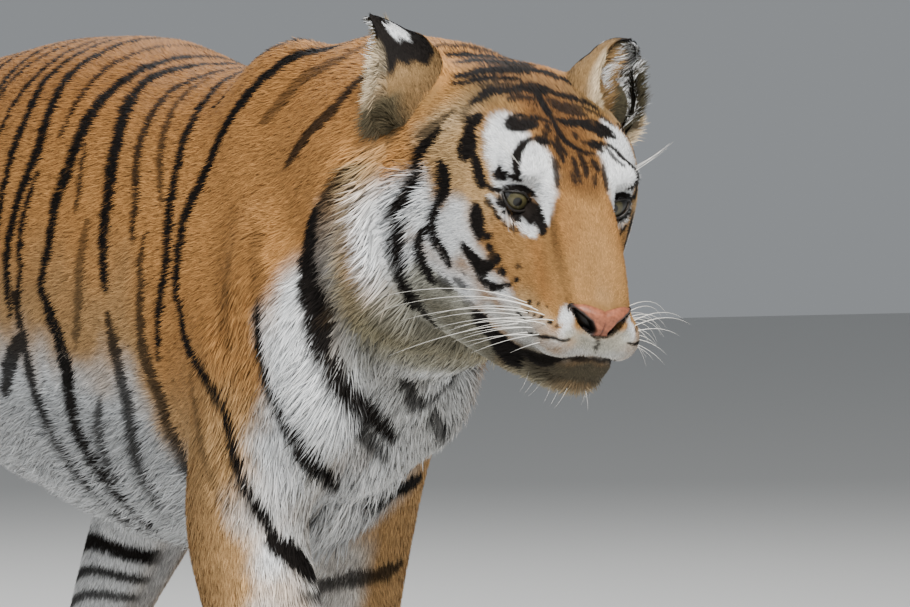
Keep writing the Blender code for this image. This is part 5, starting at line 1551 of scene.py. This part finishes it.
def lid_rim(name, side):
    """The dark bare edge of the lids: a rounded tube round the almond opening, thicker
    above, which runs on at the inner corner as the tear duct."""
    forward, outward, up = lid_axes(side)
    steps, around = 120, 12
    c, s = np.cos(turns(steps)), np.sin(turns(steps))
    a = np.sign(c) * np.abs(c) ** (2 / 1.7) * EYE_WIDE
    b = np.sign(s) * np.abs(s) ** (2 / 1.7) * np.where(s > 0, EYE_ABOVE, EYE_BELOW)
    inner = ease(-c, .82, 1.0)
    ray = unit(forward + np.tan(a)[:, None] * outward + np.tan(b)[:, None] * up)
    path = eye_place(side) + ray * (LID + .02 + .30 * inner)[:, None]
    path += inner[:, None] * (-side * .35 * np.array([1, 0, 0]) + np.array([0, 0, -.12]))
    thick = .09 + .05 * (s > 0) * np.abs(s)
    along = unit(np.roll(path, -1, 0) - np.roll(path, 1, 0))
    out = unit(np.cross(along, ray))
    tube = circles(path, out, ray, thick, around).reshape(-1, 3)
    faces = grid_faces(steps + 1, around, closed=True) % len(tube)
    colour = np.tile(np.array([.010, .008, .007]), (len(tube), 1))
    return mesh_from(name, from_head(tube), faces[:, ::-1], colour)


def ear_shell(name):
    """(points, triangles, u, v, outside) of the ear's gristle: two sheets and a rim."""
    rows, columns = 44, 60
    v, u = np.meshgrid(np.linspace(-.16, .985, rows), np.linspace(-1, 1, columns),
                       indexing="ij")
    outer, inner = (ear_point(name, u, v, d * EAR_WALL / 2) for d in (1, -1))
    quads = grid_faces(rows, columns)
    shift = rows * columns
    rim = np.concatenate([np.arange(rows) * columns,
                          (rows - 1) * columns + np.arange(1, columns),
                          (np.arange(rows - 1)[::-1] * columns + columns - 1)])
    sides = np.stack([rim[:-1], rim[1:], rim[1:] + shift, rim[:-1] + shift], -1)
    faces = np.concatenate([quads[:, ::-1], quads + shift, sides])
    points = ear_place(name, np.concatenate([outer, inner]).reshape(-1, 3))
    return (points, faces, np.tile(u.ravel(), 2), np.tile(v.ravel(), 2),
            np.arange(2 * shift) < shift)


def ear_colours(name, u, v, outside):
    """Black back with a white spot and tan foot, dark edge, grey-white inside."""
    left = name == "left"
    wave = .03 * np.sin(9 * u + 2) + .02 * np.sin(23 * u)
    back = np.tile(np.asarray(BLACK), (len(u), 1))
    spot = np.hypot(u / .42, (v + wave - .73) / .115)
    back = blend(back, WHITE, 1 - ease(spot, .80, 1.15))
    low = .47 + wave - .20 * ease(np.abs(u), .45, .0) + (.44 * ease(-u, .40, .62) if left else 0)
    back = blend(back, EAR_TAN, 1 - ease(v, low - .05, low + .04))
    back = blend(back, CREAM, .9 * ease(np.abs(u), .80, .95) * (1 - ease(v, .62, .80)))
    # dark hair and painted shade low on the near ear's back, round its foot
    if not left:
        back = blend(back, GREY_BROWN, .9 * ease(np.abs(u), .55, .80) * (1 - ease(v, .22, .36)))
    cup = np.tile(np.asarray(GREY_BROWN) * .45, (len(u), 1))
    cup = blend(cup, EAR_TAN, ease(-u if left else np.abs(u), .80, .92) * (1 - ease(v, .7, .9)))
    cup = blend(cup, BLACK, .7 * ease(np.abs(u), .95, 1.0) + ease(v, .93, .98))
    return np.where(outside[:, None], back, cup)


def whisker(root, way, sag, length, thick):
    """Rings of one whisker: a bowed line root + way s + sag s^2 that thins to its tip."""
    s = np.linspace(0, 1, 9)[:, None]
    path = root + way * length * s + sag * length * s * s
    along = unit(np.gradient(path, axis=0))
    across = unit(np.cross(along, (0.1, 0.2, 1.0)))
    return circles(path, across, np.cross(along, across), thick * (1 - .85 * s), 5)


# ------------------------------------------------------------------ build


def worn(piece, material, slot, *nodes):
    """Gives a piece its finish, sets it on the still body and hides the frame's nodes whose place
    it takes.
    """
    piece.data.materials.append(material)
    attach(piece, "root")
    if nodes:
        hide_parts(*nodes)


def build_skin():
    """(points, triangles, normals) of the whole skin, fine and sculpted on the face."""
    points, faces = flesh_surface()
    points, faces = thinned(points, faces)
    points, faces = split_face(points, faces)
    q = to_head(points)
    front = 1 - ease(q[:, 1], 4.0, 7.0)
    points = relaxed(points, edges_of(faces), .5 * front, 3)
    normals = normals_of(points, faces)
    near = np.flatnonzero(to_head(points)[:, 1] < 9)
    points[near] = from_head(sculpted(to_head(points[near]), normals[near] @ HEAD_TURN))
    points = relaxed(points, edges_of(faces), .18 * front, 1)
    points[:, 2] = np.maximum(points[:, 2], 0)
    return points, faces, normals_of(points, faces)


def coat_of(points, faces, normals, hair):
    """Tufts over the whole skin, in pieces by region."""
    density = coat_measures(points, normals)[3] * ~bare(points) * TUFT_SHARE
    corners, shares = scattered(points, faces, density)
    roots, outs = carried(points, corners, shares), unit(carried(normals, corners, shares))
    clear = ~bare(roots)
    roots, outs = roots[clear], outs[clear]
    region, ways = lie_of(roots)
    ways = unit(ways - outs * (ways * outs).sum(1)[:, None] + 1e-6)
    swirl = .22 * ripple(roots, .16, 1.0) + .12 * ripple(roots, .05, 3.0)
    ways = unit(ways + np.cross(outs, ways) * swirl[:, None])
    length, width, lift, _ = coat_measures(roots, outs, region)
    length *= rng.uniform(.75, 1.2, len(roots))
    lift *= rng.uniform(.55, 1.35, len(roots))
    # colour at a third of each tuft, and at the tip of a long one, where it lies
    near = coat_colours(roots + ways * (length * .35)[:, None], outs, region)
    far = near.copy()
    own = length > LONG
    far[own] += .7 * (coat_colours((roots + ways * (length * .8)[:, None])[own], outs[own],
                                   region[own]) - near[own])
    colours = np.stack([near, far])
    q = to_head(roots)
    head, trunk = within(region, "head"), within(region, "trunk")
    face = head & (q[:, 1] < 4)
    right = roots[:, 0] < 0
    middle = trunk & (roots[:, 1] >= -.42) & (roots[:, 1] < .08)
    groups = {
        "coat_face": (face & (q[:, 2] > -6), "head"),
        "coat_muzzle": (face & (q[:, 2] <= -6), "head"),
        "coat_head": (head & ~face, "head"),
        "coat_neck": (within(region, "neck"), "neck"),
        "coat_chest": (trunk & (roots[:, 1] < -.42), "trunk"),
        "coat_side_right": (middle & right, "trunk"),
        "coat_side_left": (middle & ~right, "trunk"),
        "coat_rump": (trunk & (roots[:, 1] >= .08), "trunk"),
    }
    for name in (*LEGS, "tail"):
        groups["coat_" + name] = (within(region, name), name)
    for name, (own, chain) in groups.items():
        long = length[own] > LONG
        piece = tuft_piece(name, long, *(value[own] for value in (
            roots, outs, ways, length, width, lift)), colours[:, own],
            unwrapped(roots[own], chain))
        worn(piece, hair, "coat_white" if name == "coat_muzzle" else "coat_orange")


def build_ears(hair, fur):
    """Each ear: its gristle, short hair over the back, and long pale hair in the cup."""
    for name in EYE_SIDES:
        points, faces, u, v, outside = ear_shell(name)
        points = from_head(points)
        shell = mesh_from("ear_shell_" + name, points, faces,
                          ear_colours(name, u, v, outside))
        worn(shell, fur, "ear_black", "ear_" + name)
        tris = np.concatenate([faces[:, [0, 1, 2]], faces[:, [0, 2, 3]]])
        corners, shares = scattered(points, tris,
                                    np.full(len(points), EAR_HAIRS) * TUFT_SHARE)
        roots = carried(points, corners, shares)
        outs = unit(carried(normals_of(points, tris), corners, shares))
        ru, rv = carried(u, corners, shares), carried(v, corners, shares)
        back = carried(outside * 1.0, corners, shares) > .5
        tip = from_head(ear_place(name, ear_point(name, ru * 1.02,
                                                  np.minimum(rv + .08, 1.0), 0)))
        mouth = from_head(ear_place(name, np.array([[0, -6.0, 7.0]])))
        up, into = unit(tip - roots), unit(mouth - roots)
        edge = np.abs(ru)
        fringe = ease(edge, .78, .95) * (1 - ease(rv, .6, .8))
        fringe = fringe * (1.0 if name == "right" else .25)
        away = unit(roots - from_head(ear_place(name, np.array([[0, 3.0, 3.0]]))))
        hang = unit(up + (away * 2.2 - up) * (fringe * back)[:, None])
        ways = np.where(back[:, None], hang, unit(up * .5 + into))
        ways = unit(ways - outs * (ways * outs).sum(1)[:, None] * .8)
        length = np.where(back, .0055 + .014 * fringe + .010 * (1 - ease(rv, .05, .3)),
                          .010 + .018 * ease(edge, .3, .8) * ease(.85 - rv, 0, .3))
        length = length * rng.uniform(.7, 1.2, len(ru))
        colour = ear_colours(name, ru, rv, back)
        pale = ~back & (rng.random(len(ru)) < .62) & (edge < .88)
        colour = np.where(pale[:, None], np.asarray(WHITE), colour)
        uv = np.stack([(ru * .49 + .5) * .5 + np.where(back, 0, .5), (rv + .16) / 1.2], -1)
        piece = tuft_piece("coat_ear_" + name, length > .009, roots, outs, ways, length,
                           np.full(len(ru), .0012), np.where(back, .28, .35),
                           np.stack([colour, colour]),
                           np.clip(uv, 0, .996))
        worn(piece, hair, "ear_black")


def build_whiskers():
    """Long white whiskers in rows on both pads, and short bristles on the chin and brow."""
    rings = []
    for side in (-1, 1):
        for row in range(4):
            for k in range(5):
                root = np.array([side * (5.25 - .18 * k - .06 * row), -6.6 - 1.15 * k,
                                 -8.3 - .72 * row + .05 * k])
                way = unit(np.array([side * (.95 - .04 * k), .80 - .14 * k,
                                     .10 - .13 * row + .02 * k]) + rng.normal(0, .08, 3))
                long = (15.5 - 1.7 * k - .9 * row) * rng.uniform(.6, 1.05)
                sag = np.array([0, .12, -.42 + .04 * row])
                rings.append(whisker(root, way, sag, long, .045))
        for k in range(5):
            root = np.array([side * (5.6 + .35 * k), .6 + .3 * k, 3.0 + .2 * k])
            way = unit(np.array([side * .7, -.5, .8]) + rng.normal(0, .1, 3))
            rings.append(whisker(root, way, np.array([side * .1, .3, 0]), 5.0, .025))
        for k in range(6):
            root = np.array([side * (1.0 + .5 * k), -10.8 + .8 * k, -15.4])
            way = unit(np.array([side * .25, -.1, -1.0]) + rng.normal(0, .15, 3))
            rings.append(whisker(root, way, np.array([0, .3, 0]), 2.6, .022))
    return mesh_from("whiskers", *joined([(from_head(points), faces) for points, faces
                                          in map(closed_tube, rings)]))


def stage_and_camera():
    """A pale floor and backdrop, soft lights, and the camera at the tiger's right front."""
    reach = 14.0
    points = np.array([(x, y, 0.0) for y in (-reach, reach) for x in (-reach, reach)])
    floor = mesh_from("floor", points, np.array([[0, 1, 3, 2]]))
    pale, _, _ = finish("pale_floor", .8, {"Base Color": (.58, .58, .57, 1)})
    floor.data.materials.append(pale)
    world = bpy.data.worlds.new("soft_light")
    world.use_nodes = True
    world.node_tree.nodes["Background"].inputs[0].default_value = (.80, .84, .88, 1)
    world.node_tree.nodes["Background"].inputs[1].default_value = .34
    bpy.context.scene.world = world
    for name, place, power, wide, tint in (
            ("key", (-1.5, -4.8, 4.4), 720, 1.6, (1, .98, .94)),
            ("fill", (-4.5, -2.0, 1.8), 45, 3.0, (.92, .96, 1)),
            ("rim", (1.5, 3.5, 4.0), 190, 2.5, (1, 1, 1))):
        light = bpy.data.lights.new(name, "AREA")
        light.energy, light.size, light.color = power, wide, tint
        lamp = bpy.data.objects.new(name, light)
        lamp.location = place
        aim = Vector((0, -.5, .6)) - Vector(place)
        lamp.rotation_euler = aim.to_track_quat("-Z", "Y").to_euler()
        bpy.context.scene.collection.objects.link(lamp)
    camera = bpy.data.objects.new("camera", bpy.data.cameras.new("camera"))
    camera.data.lens, camera.data.sensor_width = 268, 36
    aim, distance = Vector((.0011, -.7863, .665)), 7.0
    a, e = math.radians(-30), math.radians(2)
    back = Vector((math.sin(a) * math.cos(e), -math.cos(a) * math.cos(e), math.sin(e)))
    camera.location = aim + back * distance
    camera.rotation_euler = (-back).to_track_quat("-Z", "Y").to_euler()
    bpy.context.scene.collection.objects.link(camera)
    bpy.context.scene.camera = camera


stage_and_camera()
hair, fur, leather = hair_finish(), skin_finish(), leather_finish()
skin_points, skin_faces, skin_normals = build_skin()
lay_marks(skin_points, skin_faces)
skin_colours = coat_colours(skin_points, skin_normals) * .8
skin = mesh_from("skin", skin_points, skin_faces, skin_colours)
worn(skin, fur, "coat_orange", *FLESH)
coat_of(skin_points, skin_faces, skin_normals, hair)
build_ears(hair, fur)
worn(nose_pad(), leather, "eye_glass")
eye = eye_finish()
for eye_name, eye_side in EYE_SIDES.items():
    worn(eyeball("eyeball_" + eye_name, eye_side), eye, "eye_glass", "eye_" + eye_name)
    worn(lid_rim("lid_rim_" + eye_name, eye_side), leather, "eye_glass")
worn(build_whiskers(), whisker_finish(), "coat_white")
